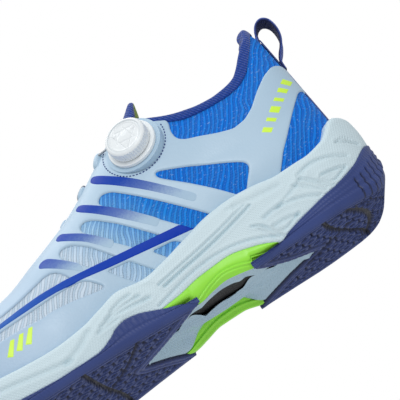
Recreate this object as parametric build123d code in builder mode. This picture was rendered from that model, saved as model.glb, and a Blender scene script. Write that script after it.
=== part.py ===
from build123d import *
import math
import os

os.makedirs("parts", exist_ok=True)

# ---------------------------------------------------------------------------
# Court shoe, left foot.  +Z up, toe toward -X, heel toward +X, lateral side -Y.
# Stations along the shoe are written s, in mm forward of a datum just behind
# the heel; X = X_DATUM - s.  The origin is at the bottom centre of the shoe.
# ---------------------------------------------------------------------------
X_DATUM = 145.4            # station that lies on X = 0
SOLE_HEEL = 4.5            # rearmost station of the sole
SOLE_TOE = 288.0           # foremost station of the sole
OUTSOLE_FLOOR = 4.0        # rubber thickness under the foot
OUTSOLE_WALL = 2.4         # rubber thickness where it wraps up the side
ARCH_FLOOR = 9.0           # height of the arch recess above the ground
SHANK_THICK = 1.6          # carbon plate
MESH_THICK = 1.8           # bootie mesh with its backing
SKIN_GAP = 0.06            # glue line under a fused overlay
SKIN_THICK = 0.7           # fused overlay film
BOARD_THICK = 1.6          # strobel board
INSOLE_THICK = 4.2         # moulded sock liner
COVER_THICK = 0.9          # its knitted top cloth
DIAL_R = 11.0              # knob radius
DIAL_FLANGE_R = 13.0       # bayonet base radius
KNOB_TRAVEL = 2.5          # pull-to-release travel
CABLE_D = 1.2              # steel lace with its jacket
LOOP_W = 11.0              # heel pull webbing width
LOOP_T = 1.3               # heel pull webbing thickness


def lerp(table, s):
    if s <= table[0][0]:
        return table[0][1]
    for (a, va), (b, vb) in zip(table, table[1:]):
        if s <= b:
            return va + (vb - va) * (s - a) / (b - a)
    return table[-1][1]


def X(s):
    return X_DATUM - s


# sole planform, half widths either side of the heel axis
LAT = [(4.5, 0), (5.2, 6), (7, 12.5), (12, 21), (20, 29), (30, 34), (45, 37), (65, 37), (85, 36.5),
       (100, 37), (115, 39), (130, 41.5), (150, 45.5), (170, 49), (190, 51.2), (205, 51.5),
       (220, 50), (238, 45.5), (254, 38.5), (268, 29), (278, 18.5), (285, 7.5), (288, -4)]
MED = [(4.5, 0), (5.2, 6), (7, 12.5), (12, 20.5), (20, 28.5), (30, 33.5), (50, 36), (70, 34), (90, 32.5),
       (110, 32.5), (130, 35), (150, 39.5), (170, 45), (190, 49.5), (205, 51.5), (220, 51),
       (238, 48.5), (254, 43), (268, 35), (278, 26), (285, 15), (288, 4)]
# underside, and the top edge of the midsole wall
UNDER = [(3.6, 22), (6, 13), (9, 7.5), (13, 3.2), (18, 0.8), (24, 0), (110, 0), (205, 0), (220, 0.8),
         (238, 2.8), (254, 6), (268, 10), (278, 13.5), (289.3, 18.6)]
MID_TOP = [(3.6, 43.8), (12, 45), (27, 34.5), (40, 31.5), (53, 31.5), (68, 34), (80, 35), (91, 34.2),
           (108, 30), (120, 26.5), (134, 23.8), (146, 25), (157, 22), (168, 18.8), (185, 17),
           (200, 18), (215, 20), (235, 22), (255, 25), (272, 29.5), (289.3, 34.4)]
# top edge of the outsole rubber where it wraps up the side
WRAP = [(4.5, 28), (10, 25.5), (22, 17.5), (33, 13.5), (45, 11), (66, 6.5), (76, 5), (90, 4.2),
        (118, 4.2), (126, 6), (134, 8.5), (142, 11.5), (150, 12.6), (158, 10.5), (166, 6.5), (180, 5.4),
        (200, 6), (220, 8.5), (240, 12), (260, 18), (275, 24), (288, 31)]
# upper: board level, feather half widths, ridge height, crown half width
BOARD = [(0, 20.5), (11.5, 20.5), (32, 20), (60, 20), (98, 19), (134, 15.6), (168, 11.2), (186, 9.8), (204, 9),
         (220, 9.2), (235, 10.2), (248, 12.2), (260, 14.8), (270, 17.8), (277, 20.2), (284, 22.8), (292, 26)]
UP_LAT = [(11.5, 7.5), (14, 13.5), (18, 19.5), (24, 25), (32, 29), (45, 32), (60, 33), (80, 33),
          (100, 33.5), (120, 35.5), (140, 38.5), (160, 42.5), (180, 46), (200, 47.6), (215, 47),
          (230, 44.2), (245, 39), (258, 32), (268, 24.5), (276, 16), (281, 8.5), (284, 2)]
UP_MED = [(11.5, 7.5), (14, 13.5), (18, 19), (24, 24.5), (32, 28.5), (45, 31.5), (60, 31), (80, 29.5),
          (100, 29), (120, 30.5), (140, 34), (160, 39), (180, 43.5), (200, 46.5), (215, 47),
          (230, 45.5), (245, 42), (258, 36.5), (268, 30.5), (276, 23), (281, 16), (284, 10)]
RIDGE = [(11.5, 92), (14, 106), (18, 119), (22, 127), (75, 127), (85, 122), (92, 115.5), (98, 111), (109, 103.5),
         (117, 98.5), (122, 95), (132, 88.5), (149, 79), (161, 74), (173.5, 69), (190, 62.5),
         (200, 60.5), (215, 57), (230, 54), (245, 51.5), (258, 48.5), (268, 45.5), (276, 41.5),
         (281, 37.5), (284, 33)]
CROWN = [(11.5, 2), (90, 6), (120, 8), (160, 10), (200, 12), (230, 12), (258, 10), (276, 6), (284, 2)]
UP0, UP1 = 11.5, 284.0
STATIONS = [11.5, 14, 18, 24, 32, 45, 60, 76, 88, 98, 109, 120, 134, 150, 168, 186, 204, 220, 235,
            248, 260, 270, 277, 281.5, 284]


def half(s, z, side):
    """Half width of the upper at station s and height z."""
    w0 = lerp(UP_LAT if side < 0 else UP_MED, s)
    feather, ridge, crown = lerp(MID_TOP, s), lerp(RIDGE, s), min(lerp(CROWN, s), w0)
    if z <= feather:
        board = lerp(BOARD, s)
        q = max(0.0, min(1.0, (z - board) / max(feather - board, 1.0)))
        return w0 - min(3.5, 0.35 * w0) * (1 - q) ** 2
    h = z - feather
    k = max(0.0, min(1.0, (s - 70) / 28.0))
    k = k * k * (3 - 2 * k)
    end = max(0.0, min(1.0, (s - 11.5) / 30.0))
    heel = w0 + 1.0 * math.sin(math.pi * min(h / 24.0, 1.0)) - (0.0011 + 0.0018 * end) * h * h
    heel = max(heel, 0.22 * w0)
    t = min(1.0, h / max(ridge - feather, 1.0))
    fore = crown + (w0 - crown) * math.sqrt(max(0.0, 1 - t * t))
    return heel + (fore - heel) * k


def section(s, d):
    """Lateral and medial sides of the upper's section, d inside the skin (or outside, if negative)."""
    span = UP1 - UP0
    q = UP0 + (s - UP0 - d) * span / (span - 2 * d)
    q = min(max(q, UP0), UP1)
    z0 = lerp(BOARD, q) + (0 if d == 0 else -0.35 if d < 0 else -4.0)
    z1 = lerp(RIDGE, q) - d
    sides = []
    for side in (-1, 1):
        pts = []
        for i in range(7):
            f = (0, 0.1, 0.28, 0.5, 0.72, 0.89, 1.0)[i]
            z = z0 + (z1 - z0) * f
            zz = z0 + (z1 + d - z0) * f
            w = half(q, min(max(zz, lerp(BOARD, q)), lerp(RIDGE, q)), side)
            y = side * max(w - d, 0.9)
            pts.append((y, z))
        sides.append(pts)
    return sides


def last_solid(d):
    """The upper's outer volume, taken d inside (or outside) the skin."""
    with BuildPart() as vol:
        for i, s in enumerate(STATIONS):
            if i == 0:
                s = UP0 + d
            elif i == len(STATIONS) - 1:
                s = UP1 - d
            elif not (UP0 + d + 0.8 < s < UP1 - d - 0.8):
                continue
            lat, med = section(s, d)
            with BuildSketch(Plane(origin=(X(s), 0, 0), x_dir=(0, 1, 0), z_dir=(1, 0, 0))):
                with BuildLine():
                    Spline(*lat)
                    Line(lat[-1], med[-1])
                    Spline(*med[::-1])
                    Line(med[0], lat[0])
                make_face()
        loft(ruled=True)
    return vol.part


def side_prism(pts, y0=-80.0, y1=80.0, smooth=False):
    """A closed outline of (s, z) points run across the shoe from y0 to y1."""
    with BuildPart() as prism:
        with BuildSketch(Plane.XZ.offset(-y1)):
            with BuildLine():
                if smooth:
                    Spline(*[(X(s), z) for s, z in pts], periodic=True)
                else:
                    Polyline(*[(X(s), z) for s, z in pts], close=True)
            make_face()
        extrude(amount=y1 - y0)
    return prism.part


def plan_prism(pts, z0, z1, smooth=False):
    """A closed outline of (s, y) points run up from z0 to z1."""
    with BuildPart() as prism:
        with BuildSketch(Plane.XY.offset(z0)):
            with BuildLine():
                if smooth:
                    Spline(*[(X(s), y) for s, y in pts], periodic=True)
                else:
                    Polyline(*[(X(s), y) for s, y in pts], close=True)
            make_face()
        extrude(amount=z1 - z0)
    return prism.part


def band(lower, upper, s0, s1, dz0=0.0, dz1=0.0):
    """(s, z) outline between two height tables from s0 to s1."""
    ss = sorted({s0, s1} | {s for s, _ in lower + upper if s0 < s < s1})
    low = [(s, lerp(lower, s) + dz0) for s in ss]
    top = [(s, lerp(upper, s) + dz1) for s in reversed(ss)]
    return low + top


def planform(inset):
    lat, med = [], []
    for s, w in LAT[1:-1]:
        lat.append((min(max(s, SOLE_HEEL + inset + 0.5), SOLE_TOE - inset - 0.5), -(w - inset) if w > inset + 2 else -1.5))
    for s, w in MED[1:-1]:
        med.append((min(max(s, SOLE_HEEL + inset + 0.5), SOLE_TOE - inset - 0.5), (w - inset) if w > inset + 2 else 1.5))
    pts = [(SOLE_HEEL + inset, 0.0)] + lat + [(SOLE_TOE - inset, 4.0)] + med[::-1]
    keep = [pts[0]]
    for p in pts[1:]:
        if math.dist(p, keep[-1]) > 3.0:
            keep.append(p)
    if math.dist(keep[-1], keep[0]) < 3.0:
        keep.pop()
    return keep


def save(solid, name):
    solid.label = name
    export_step(solid, f"parts/{name}.step")
    print(name, len(solid.solids()), round(solid.volume))


# ---------------------------------------------------------------- volumes
outer_skin = last_solid(0.0)
cup_skin = last_solid(-(SKIN_GAP + SKIN_THICK + 0.1))
glue_skin = last_solid(-SKIN_GAP)
film_skin = last_solid(-(SKIN_GAP + SKIN_THICK))
inner_skin = last_solid(MESH_THICK)

with BuildPart() as sole_body:
    with BuildSketch(Plane.XY.offset(-2)):
        with BuildLine():
            Spline(*[(X(s), y) for s, y in planform(0)], periodic=True)
        make_face()
    extrude(amount=52)
    add(side_prism(band(UNDER, MID_TOP, 2.0, 292.0)), mode=Mode.INTERSECT)

with BuildPart() as sole_core:
    with BuildSketch(Plane.XY.offset(-2)):
        with BuildLine():
            Spline(*[(X(s), y) for s, y in planform(OUTSOLE_WALL)], periodic=True)
        make_face()
    extrude(amount=60)
    floor = [(s, max(lerp(UNDER, s) + OUTSOLE_FLOOR, 0)) for s in [i * 6.0 for i in range(0, 50)]]
    add(side_prism(floor + [(294, 70), (0, 70)]), mode=Mode.INTERSECT)

below_wrap = [(s, lerp(WRAP, s)) for s in [i * 5.0 for i in range(0, 59)]] + [(290, -5), (0, -5)]
HEEL_RUBBER = [(-2, -70), (86, -70), (88, -33), (84, -27), (70, -12), (58, -3), (54, 0), (58, 3), (70, 11),
               (84, 24), (89, 30), (88, 70), (-2, 70)]
FORE_RUBBER = [(295, -70), (119, -70), (118, -40), (124, -32), (138, -16), (150, -4), (154, 0), (151, 5),
               (142, 15), (134, 26), (129, 31), (130, 70), (295, 70)]

# ---------------------------------------------------------------- outsole
with BuildPart() as outsole_heel:
    add(sole_body.part)
    add(sole_core.part, mode=Mode.SUBTRACT)
    add(side_prism(below_wrap), mode=Mode.INTERSECT)
    add(plan_prism(HEEL_RUBBER, -3, 60), mode=Mode.INTERSECT)
    # flex groove across the heel
    add(plan_prism([(46, -24), (50, -21), (30, 22), (26, 19)], -1, 2.0), mode=Mode.SUBTRACT)
save(outsole_heel.part, "outsole_heel")

with BuildPart() as outsole_forefoot:
    add(sole_body.part)
    add(sole_core.part, mode=Mode.SUBTRACT)
    add(side_prism(below_wrap), mode=Mode.INTERSECT)
    add(plan_prism(FORE_RUBBER, -3, 60), mode=Mode.INTERSECT)
    for s0 in (182.0, 214.0):
        add(plan_prism([(s0, -40), (s0 + 5, -40), (s0 - 6, 40), (s0 - 11, 40)], -1, 2.0), mode=Mode.SUBTRACT)
save(outsole_forefoot.part, "outsole_forefoot")

# ---------------------------------------------------------------- arch pieces
RAIL_LAT = [(69, 3.5), (76, 8.5), (84, 12), (96, 14.5), (110, 13.4), (124, 10.6), (136, 9.2), (142, 6.0),
            (132, 3.2), (118, 2.2), (106, 3.0), (96, 2.6), (86, 1.2), (76, 1.2)]
RAIL_MED = [(74, 4), (84, 10), (98, 15.5), (112, 15.0), (126, 11.5), (140, 8), (146, 5), (134, 2.5),
            (118, 2.4), (106, 3.4), (96, 3.2), (88, 1.5), (80, 1.5)]
RECESS = [(57, 0), (70, -13), (84, -26), (92, -29), (118, -30), (126, -26), (150, 0), (134, 20),
          (124, 25), (92, 25), (84, 22), (70, 12.4)]
SHANK = [(46, -12), (60, -20), (84, -25.5), (118, -27), (140, -26), (158, -20), (162, 0), (158, 17),
         (140, 21), (118, 22), (84, 21.5), (60, 18), (46, 11)]

with BuildPart() as arch_rail_lateral:
    add(sole_body.part)
    add(side_prism(RAIL_LAT, -80, -30.5), mode=Mode.INTERSECT)
    add(outsole_heel.part, mode=Mode.SUBTRACT)
    add(outsole_forefoot.part, mode=Mode.SUBTRACT)
save(arch_rail_lateral.part, "arch_rail_lateral")

with BuildPart() as arch_rail_medial:
    add(sole_body.part)
    add(side_prism(RAIL_MED, 26.0, 80), mode=Mode.INTERSECT)
    add(outsole_heel.part, mode=Mode.SUBTRACT)
    add(outsole_forefoot.part, mode=Mode.SUBTRACT)
save(arch_rail_medial.part, "arch_rail_medial")

with BuildPart() as carbon_shank:
    add(plan_prism(SHANK, ARCH_FLOOR, ARCH_FLOOR + SHANK_THICK))
save(carbon_shank.part, "carbon_shank")

# ---------------------------------------------------------------- cushion inserts under the board
with BuildPart() as heel_cushion_insert:
    with BuildSketch(Plane.XY.offset(11.4)):
        with Locations((X(46), 0)):
            Ellipse(24, 20)
    extrude(amount=7.6)
save(heel_cushion_insert.part, "heel_cushion_insert")

FORE_PAD = [(158, -25), (176, -33), (198, -36), (206, -30), (208, 0), (206, 30), (198, 36), (176, 32), (158, 24), (153, 0)]
with BuildPart() as forefoot_cushion_insert:
    add(plan_prism(FORE_PAD, 4.8, 7.8))
save(forefoot_cushion_insert.part, "forefoot_cushion_insert")

# ---------------------------------------------------------------- midsole
with BuildPart() as midsole:
    add(sole_body.part)
    add(cup_skin, mode=Mode.SUBTRACT)
    for piece in (outsole_heel, outsole_forefoot, arch_rail_lateral, arch_rail_medial, carbon_shank,
                  heel_cushion_insert, forefoot_cushion_insert):
        add(piece.part, mode=Mode.SUBTRACT)
    add(plan_prism(RECESS, -5, ARCH_FLOOR), mode=Mode.SUBTRACT)
    # cushion pockets are open to the board
    with BuildSketch(Plane.XY.offset(11.4)):
        with Locations((X(46), 0)):
            Ellipse(24, 20)
    extrude(amount=14, mode=Mode.SUBTRACT)
    add(plan_prism(FORE_PAD, 4.8, 20), mode=Mode.SUBTRACT)
with BuildPart() as midsole_body:
    # slivers left where cut faces meet are dropped
    add(midsole.part.solids().sort_by(SortBy.VOLUME)[-1])
save(midsole_body.part, "midsole")

# ---------------------------------------------------------------- foot bed
board_vol = last_solid(MESH_THICK + 0.1)
with BuildPart() as strobel_board:
    add(board_vol)
    add(side_prism(band(BOARD, BOARD, 8, 290, 0.0, BOARD_THICK)), mode=Mode.INTERSECT)
save(strobel_board.part, "strobel_board")

lining_vol = last_solid(MESH_THICK + 1.1)
with BuildPart() as insole_foam:
    add(lining_vol)
    add(side_prism(band(BOARD, BOARD, 8, 290, BOARD_THICK + 0.1, BOARD_THICK + 0.1 + INSOLE_THICK)),
        mode=Mode.INTERSECT)
save(insole_foam.part, "insole_foam")
with BuildPart() as insole_cover:
    add(lining_vol)
    add(side_prism(band(BOARD, BOARD, 8, 290, BOARD_THICK + 0.2 + INSOLE_THICK,
                        BOARD_THICK + 0.2 + INSOLE_THICK + COVER_THICK)), mode=Mode.INTERSECT)
save(insole_cover.part, "insole_cover")

# ---------------------------------------------------------------- upper
# side outline of everything above the collar rim, and above the throat line of the vamp
COLLAR_CUT = [(5, 121), (16, 117.5), (19, 115), (24, 109.5), (30, 103), (35, 97), (40, 92), (47, 89.5),
              (55, 88.5), (62, 89), (70, 91.5), (78, 93), (85, 97), (90, 101), (95, 107), (98, 113), (98, 150), (5, 150)]
# underside of the knitted rim band
RIM_LOW = [(5, 114), (14, 112.5), (18, 109.5), (21, 105.5), (27, 97), (32, 91), (36, 87.6), (41, 85.2), (50, 83.6),
           (57, 83.6), (64, 84.2), (72, 85.6), (78, 88.5), (84, 92.5)]
THROAT_SLOT = [(70, -14), (100, -10), (130, -6), (150, -4), (156, 2), (150, 9), (130, 13), (100, 16), (70, 20)]
QUARTER_SPLIT = 92.0       # where the heel quarter meets the vamp

with BuildPart() as bootie:
    add(outer_skin)
    add(inner_skin, mode=Mode.SUBTRACT)
    add(side_prism(COLLAR_CUT), mode=Mode.SUBTRACT)

RIM_ZONE = RIM_LOW + [(84, 160), (5, 160)]      # everything above the band's lower edge
with BuildPart() as heel_quarter:
    add(bootie.part)
    add(plan_prism([(-10, -80), (QUARTER_SPLIT - 0.05, -80), (QUARTER_SPLIT - 0.05, 80), (-10, 80)], 0, 150), mode=Mode.INTERSECT)
    add(side_prism(RIM_ZONE), mode=Mode.SUBTRACT)
save(heel_quarter.part, "heel_quarter")

with BuildPart() as vamp:
    add(bootie.part)
    add(plan_prism([(QUARTER_SPLIT + 0.05, -80), (300, -80), (300, 80), (QUARTER_SPLIT + 0.05, 80)], 0, 150), mode=Mode.INTERSECT)
    add(plan_prism(THROAT_SLOT, 50, 150), mode=Mode.SUBTRACT)
save(vamp.part, "vamp")

# ---------------------------------------------------------------- fused overlays
with BuildPart() as film:
    add(film_skin)
    add(glue_skin, mode=Mode.SUBTRACT)
    add(side_prism(COLLAR_CUT), mode=Mode.SUBTRACT)
    add(plan_prism([(s, y - 3 if y < 2 else y + 3) for s, y in THROAT_SLOT], 50, 150), mode=Mode.SUBTRACT)
    add(side_prism(band(MID_TOP, MID_TOP, -5, 300, -60, 0.4)), mode=Mode.SUBTRACT)
    add(side_prism(RIM_ZONE), mode=Mode.SUBTRACT)

WIN_B = [(99.3, 68.9), (80, 60.5), (66, 51.5), (62, 47), (64, 40), (70, 34.8), (85, 50.5), (96.7, 64)]
WIN_C = [(128.2, 74.3), (122.4, 74.1), (115.6, 68.3), (92.5, 39.7), (97.4, 33.5), (104.3, 39.7), (120.5, 60), (130.1, 70.9)]
WIN_D = [(143.6, 65.2), (139.4, 66.9), (129.3, 57.4), (117.4, 43.5), (128.5, 45), (133.6, 49.9), (141.8, 60.6)]
WIN_E = [(158.8, 58.2), (154.4, 60.3), (147.9, 55.4), (140.3, 46.5), (150.2, 47), (154.5, 50.5), (158.3, 55.2)]
WIN_F = [(163, 48.5), (168.4, 52.5), (178, 51), (188, 48.5), (180, 47.6), (170, 48)]
WIN_G = [(121.7, 34.6), (110.8, 33.2), (108.5, 31.5), (116, 30)]
WIN_H = [(144.2, 37.8), (133.6, 35.8), (127, 27.5), (134, 26.5)]
WIN_I = [(149.6, 32.3), (156.5, 38.8), (173.5, 38.6), (200, 38.0), (200, 33), (180, 32.5), (157, 30)]
STRIPE = [(99.5, 35), (104, 39.3), (117.6, 41.7), (130.6, 43.2), (150.6, 44.8), (163, 46.3), (177.2, 45.6),
          (198, 43.9), (215, 42.6), (215, 38.8), (199.5, 41), (185.8, 41.5), (171.5, 43), (158.6, 42.2),
          (146.3, 40.1), (133, 39.1), (119.8, 38.1), (107, 35.9)]
LAT_OVERLAY = [(12.4, 80), (16, 85.5), (19, 86.5), (27, 83.5), (35, 77.5), (43, 71), (49, 67.5), (56, 66.3),
               (64, 69), (71, 72.8), (78, 76.5), (81.5, 80), (82, 85), (79.5, 90), (86, 95), (93, 102), (97, 112), (97, 140),
               (232, 140), (232, 20), (52, 20), (48, 36), (44.4, 41.5), (38, 47.2), (29, 56.8), (20, 65), (13.5, 70.5)]
MED_OVERLAY = [(14, 78), (19, 84), (27, 80), (38, 72), (50, 66), (64, 68), (78, 76), (88, 94), (97, 112), (97, 140),
               (232, 140), (232, 20), (60, 20), (52, 40), (40, 52), (26, 62), (14, 70)]
MED_WIN = [[(84, 58), (96, 68), (104, 66), (84, 42), (74, 38)], [(112, 58), (122, 70), (129, 70), (112, 42), (100, 40)],
           [(132, 52), (142, 64), (149, 61), (136, 42), (124, 42)], [(150, 48), (158, 57), (168, 54), (156, 40), (144, 42)]]
TOE_SPLIT = 232.3

with BuildPart() as lateral_overlay:
    add(film.part)
    add(side_prism(LAT_OVERLAY), mode=Mode.INTERSECT)
    add(plan_prism([(-10, -80), (TOE_SPLIT - 0.3, -80), (TOE_SPLIT - 0.3, 1.9), (-10, 1.9)], 0, 150), mode=Mode.INTERSECT)
    for win in (WIN_B, WIN_C, WIN_D, WIN_E, WIN_F, WIN_G, WIN_H, WIN_I, STRIPE):
        add(side_prism(win, -80, -12), mode=Mode.SUBTRACT)
save(lateral_overlay.part, "lateral_overlay")

with BuildPart() as lateral_stripe:
    add(film.part)
    add(side_prism(STRIPE, -80, -12), mode=Mode.INTERSECT)
save(lateral_stripe.part, "lateral_stripe")

with BuildPart() as medial_overlay:
    add(film.part)
    add(side_prism(MED_OVERLAY), mode=Mode.INTERSECT)
    add(plan_prism([(-10, 2.1), (TOE_SPLIT - 0.3, 2.1), (TOE_SPLIT - 0.3, 80), (-10, 80)], 0, 150), mode=Mode.INTERSECT)
    for win in MED_WIN:
        add(side_prism(win, 12, 80), mode=Mode.SUBTRACT)
save(medial_overlay.part, "medial_overlay")

with BuildPart() as toe_overlay:
    add(film.part)
    add(plan_prism([(TOE_SPLIT, -80), (300, -80), (300, 80), (TOE_SPLIT, 80)], 0, 150), mode=Mode.INTERSECT)
save(toe_overlay.part, "toe_overlay")

# ---------------------------------------------------------------- inside the upper
sock_vol = last_solid(MESH_THICK + 1.9)
pad_vol = last_solid(MESH_THICK + 4.8)
pad_inner = last_solid(MESH_THICK + 5.6)
TONGUE_PLAN = [(84, -19), (100, -19), (130, -13), (158, -8), (162, 2), (158, 13), (130, 20), (100, 22), (84, 22)]
tongue_zone = plan_prism(TONGUE_PLAN, 40, 150)

with BuildPart() as collar_band:
    add(last_solid(-0.35))
    add(pad_inner, mode=Mode.SUBTRACT)
    add(side_prism(RIM_LOW + [(84, 96.3)] + [p for p in COLLAR_CUT[::-1] if 16 <= p[0] <= 78 and p[1] < 120] + [(5, 119)]),
        mode=Mode.INTERSECT)
    add(side_prism(COLLAR_CUT), mode=Mode.SUBTRACT)
    add(plan_prism([(0, -80), (83.9, -80), (83.9, 80), (0, 80)], 60, 150), mode=Mode.INTERSECT)
save(collar_band.part, "collar_band")

COUNTER = [(5, 22.6), (60, 22.4), (74, 24), (70, 44), (56, 58), (40, 66), (24, 70.5), (5, 70.5)]
with BuildPart() as heel_counter:
    add(board_vol)
    add(lining_vol, mode=Mode.SUBTRACT)
    add(side_prism(COUNTER), mode=Mode.INTERSECT)
save(heel_counter.part, "heel_counter")

with BuildPart() as toe_puff:
    add(board_vol)
    add(lining_vol, mode=Mode.SUBTRACT)
    add(plan_prism([(246, -80), (300, -80), (300, 80), (246, 80)], 0, 100), mode=Mode.INTERSECT)
    add(side_prism([(s, z + BOARD_THICK + 0.15) for s, z in BOARD if s > 230] + [(292, -20), (235, -20)]),
        mode=Mode.SUBTRACT)
save(toe_puff.part, "toe_puff")

FOAM_ZONE = [(5, 71), (24, 71), (44, 69.5), (60, 70), (76, 76), (82, 84), (84, 92.3), (78, 88.3), (72, 85.4), (64, 84.0),
             (57, 83.4), (50, 83.4), (41, 85.0), (36, 87.4), (32, 90.8), (27, 96.8), (21, 105.3), (18, 109.3),
             (14, 112.3), (5, 113.8)]
with BuildPart() as foam_zone:
    add(side_prism(FOAM_ZONE))
    add(plan_prism([(0, -80), (83.5, -80), (83.5, 80), (0, 80)], 40, 150), mode=Mode.INTERSECT)
with BuildPart() as collar_foam:
    add(board_vol)
    add(pad_vol, mode=Mode.SUBTRACT)
    add(foam_zone.part, mode=Mode.INTERSECT)
save(collar_foam.part, "collar_foam")
with BuildPart() as collar_lining:
    add(pad_vol)
    add(pad_inner, mode=Mode.SUBTRACT)
    add(foam_zone.part, mode=Mode.INTERSECT)
save(collar_lining.part, "collar_lining")

with BuildPart() as foot_lining:
    add(lining_vol)
    add(sock_vol, mode=Mode.SUBTRACT)
    add(side_prism([(s, z + 7.3) for s, z in BOARD] + [(300, -20), (0, -20)]), mode=Mode.SUBTRACT)
    add(side_prism([(0, 70.7), (24, 70.7), (44, 69.2), (60, 69.7), (76, 75.7), (83.6, 84), (83.8, 160), (0, 160)]),
        mode=Mode.SUBTRACT)
    add(tongue_zone, mode=Mode.SUBTRACT)
    add(side_prism(COLLAR_CUT), mode=Mode.SUBTRACT)
    add(side_prism(RIM_ZONE), mode=Mode.SUBTRACT)
save(foot_lining.part, "foot_lining")

tongue_mid = last_solid(MESH_THICK + 3.6)
tongue_zone_in = plan_prism([(s + (0.4 if s < 90 else -0.4 if s > 150 else 0), y + (0.5 if y < 0 else -0.5))
                             for s, y in TONGUE_PLAN], 60, 150)
with BuildPart() as tongue:
    add(last_solid(MESH_THICK + 0.25))
    add(tongue_mid, mode=Mode.SUBTRACT)
    add(tongue_zone_in, mode=Mode.INTERSECT)
save(tongue.part, "tongue")
with BuildPart() as tongue_lining:
    add(tongue_mid)
    add(last_solid(MESH_THICK + 4.5), mode=Mode.SUBTRACT)
    add(tongue_zone_in, mode=Mode.INTERSECT)
save(tongue_lining.part, "tongue_lining")

# ---------------------------------------------------------------- heel tape and pull loop
with BuildPart() as heel_tape:
    add(last_solid(-1.9))
    add(cup_skin, mode=Mode.SUBTRACT)
    add(plan_prism([(5, -5.2), (22, -5.2), (22, 5.2), (5, 5.2)], 46.5, 90), mode=Mode.INTERSECT)
save(heel_tape.part, "heel_tape")

LOOP = [(15.4, 106.0), (14.2, 111.6), (11.4, 116.2), (7.6, 118.0), (4.4, 116.4), (3.4, 112.0), (4.2, 106.5), (6.2, 101.6),
        (8.8, 97.6), (11.2, 94.4), (12.4, 91.2)]
outer_side, inner_side = [], []
for i, (s, z) in enumerate(LOOP):
    a, b = LOOP[max(i - 1, 0)], LOOP[min(i + 1, len(LOOP) - 1)]
    ts, tz = b[0] - a[0], b[1] - a[1]
    ll = math.hypot(ts, tz)
    ns, nz = -tz / ll, ts / ll
    outer_side.append((s + ns * LOOP_T / 2, z + nz * LOOP_T / 2))
    inner_side.append((s - ns * LOOP_T / 2, z - nz * LOOP_T / 2))
with BuildPart() as heel_pull_loop:
    with BuildSketch(Plane.XZ.offset(-LOOP_W / 2)):
        with BuildLine():
            Spline(*[(X(s), z) for s, z in outer_side])
            Line((X(outer_side[-1][0]), outer_side[-1][1]), (X(inner_side[-1][0]), inner_side[-1][1]))
            Spline(*[(X(s), z) for s, z in inner_side[::-1]])
            Line((X(inner_side[0][0]), inner_side[0][1]), (X(outer_side[0][0]), outer_side[0][1]))
        make_face()
    extrude(amount=LOOP_W)
    add(cup_skin, mode=Mode.SUBTRACT)
with BuildPart() as loop_solid:
    add(heel_pull_loop.part.solids().sort_by(SortBy.VOLUME)[-1])
save(loop_solid.part, "heel_pull_loop")

# ---------------------------------------------------------------- rotary dial
DIAL_S, DIAL_Z = 99.6, 87.8
nx, ny, nz = -0.206, -0.903, 0.378
nl = math.sqrt(nx * nx + ny * ny + nz * nz)
DIAL_N = (nx / nl, ny / nl, nz / nl)
seat = [X(DIAL_S), -half(DIAL_S, DIAL_Z, -1), DIAL_Z]
DIAL_O = tuple(seat[i] + DIAL_N[i] * 1.6 for i in range(3))
print("dial origin", [round(v, 3) for v in DIAL_O], "axis", [round(v, 5) for v in DIAL_N])
dial_plane = Plane(origin=DIAL_O, x_dir=(-1, 0.3, 0), z_dir=DIAL_N)
dial_plane = Plane(origin=DIAL_O, x_dir=tuple(dial_plane.x_dir), z_dir=DIAL_N)

with BuildPart() as dial_flange:
    with BuildSketch(dial_plane.offset(-7)):
        Circle(DIAL_FLANGE_R + 2.2)
    extrude(amount=7.7)
    add(cup_skin, mode=Mode.SUBTRACT)
with BuildPart() as flange_solid:
    add(dial_flange.part.solids().sort_by(SortBy.VOLUME)[-1])
save(flange_solid.part, "dial_flange")

with BuildPart() as dial_housing:
    with BuildSketch(dial_plane.offset(0.7)):
        Circle(DIAL_FLANGE_R)
    extrude(amount=2.1)
    with BuildSketch(dial_plane.offset(2.8)):
        Circle(9.4)
    extrude(amount=2.4)
    with BuildSketch(dial_plane.offset(1.7)):
        Circle(8.1)
    extrude(amount=4.0, mode=Mode.SUBTRACT)
    with BuildSketch(dial_plane.offset(1.7)):
        Circle(1.9)
    extrude(amount=0.5)
    # screw bore and the two lace exits
    with BuildSketch(dial_plane.offset(0.7)):
        Circle(1.25)
    extrude(amount=2, mode=Mode.SUBTRACT)
save(dial_housing.part, "dial_housing")

with BuildPart() as dial_spool:
    with BuildSketch(dial_plane.offset(2.3)):
        Circle(7.7)
        Circle(1.33, mode=Mode.SUBTRACT)
    extrude(amount=2.8)
    with BuildSketch(dial_plane.offset(2.9)):
        Circle(8.0)
        Circle(5.4, mode=Mode.SUBTRACT)
    extrude(amount=1.6, mode=Mode.SUBTRACT)
save(dial_spool.part, "dial_spool")

with BuildPart() as dial_screw:
    with BuildSketch(dial_plane.offset(0.72)):
        Circle(1.25)
    extrude(amount=6.0)
    with BuildSketch(dial_plane.offset(6.72)):
        Circle(2.7)
    extrude(amount=0.55)
    with BuildSketch(dial_plane.offset(7.0)):
        Rectangle(3.0, 0.5)
    extrude(amount=0.4, mode=Mode.SUBTRACT)
save(dial_screw.part, "dial_screw")

with BuildPart() as dial_drive_ring:
    with BuildSketch(dial_plane.offset(5.4)):
        Circle(9.3)
        Circle(1.33, mode=Mode.SUBTRACT)
    extrude(amount=1.1)
    with BuildSketch(dial_plane.offset(5.4)):
        with PolarLocations(9.4, 24):
            Circle(0.35)
    extrude(amount=1.1, mode=Mode.SUBTRACT)
save(dial_drive_ring.part, "dial_drive_ring")

with BuildPart() as dial_release_spring:
    with BuildSketch(dial_plane.offset(6.5)):
        Circle(8.0)
        Circle(6.2, mode=Mode.SUBTRACT)
    extrude(amount=0.45)
save(dial_release_spring.part, "dial_release_spring")

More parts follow.
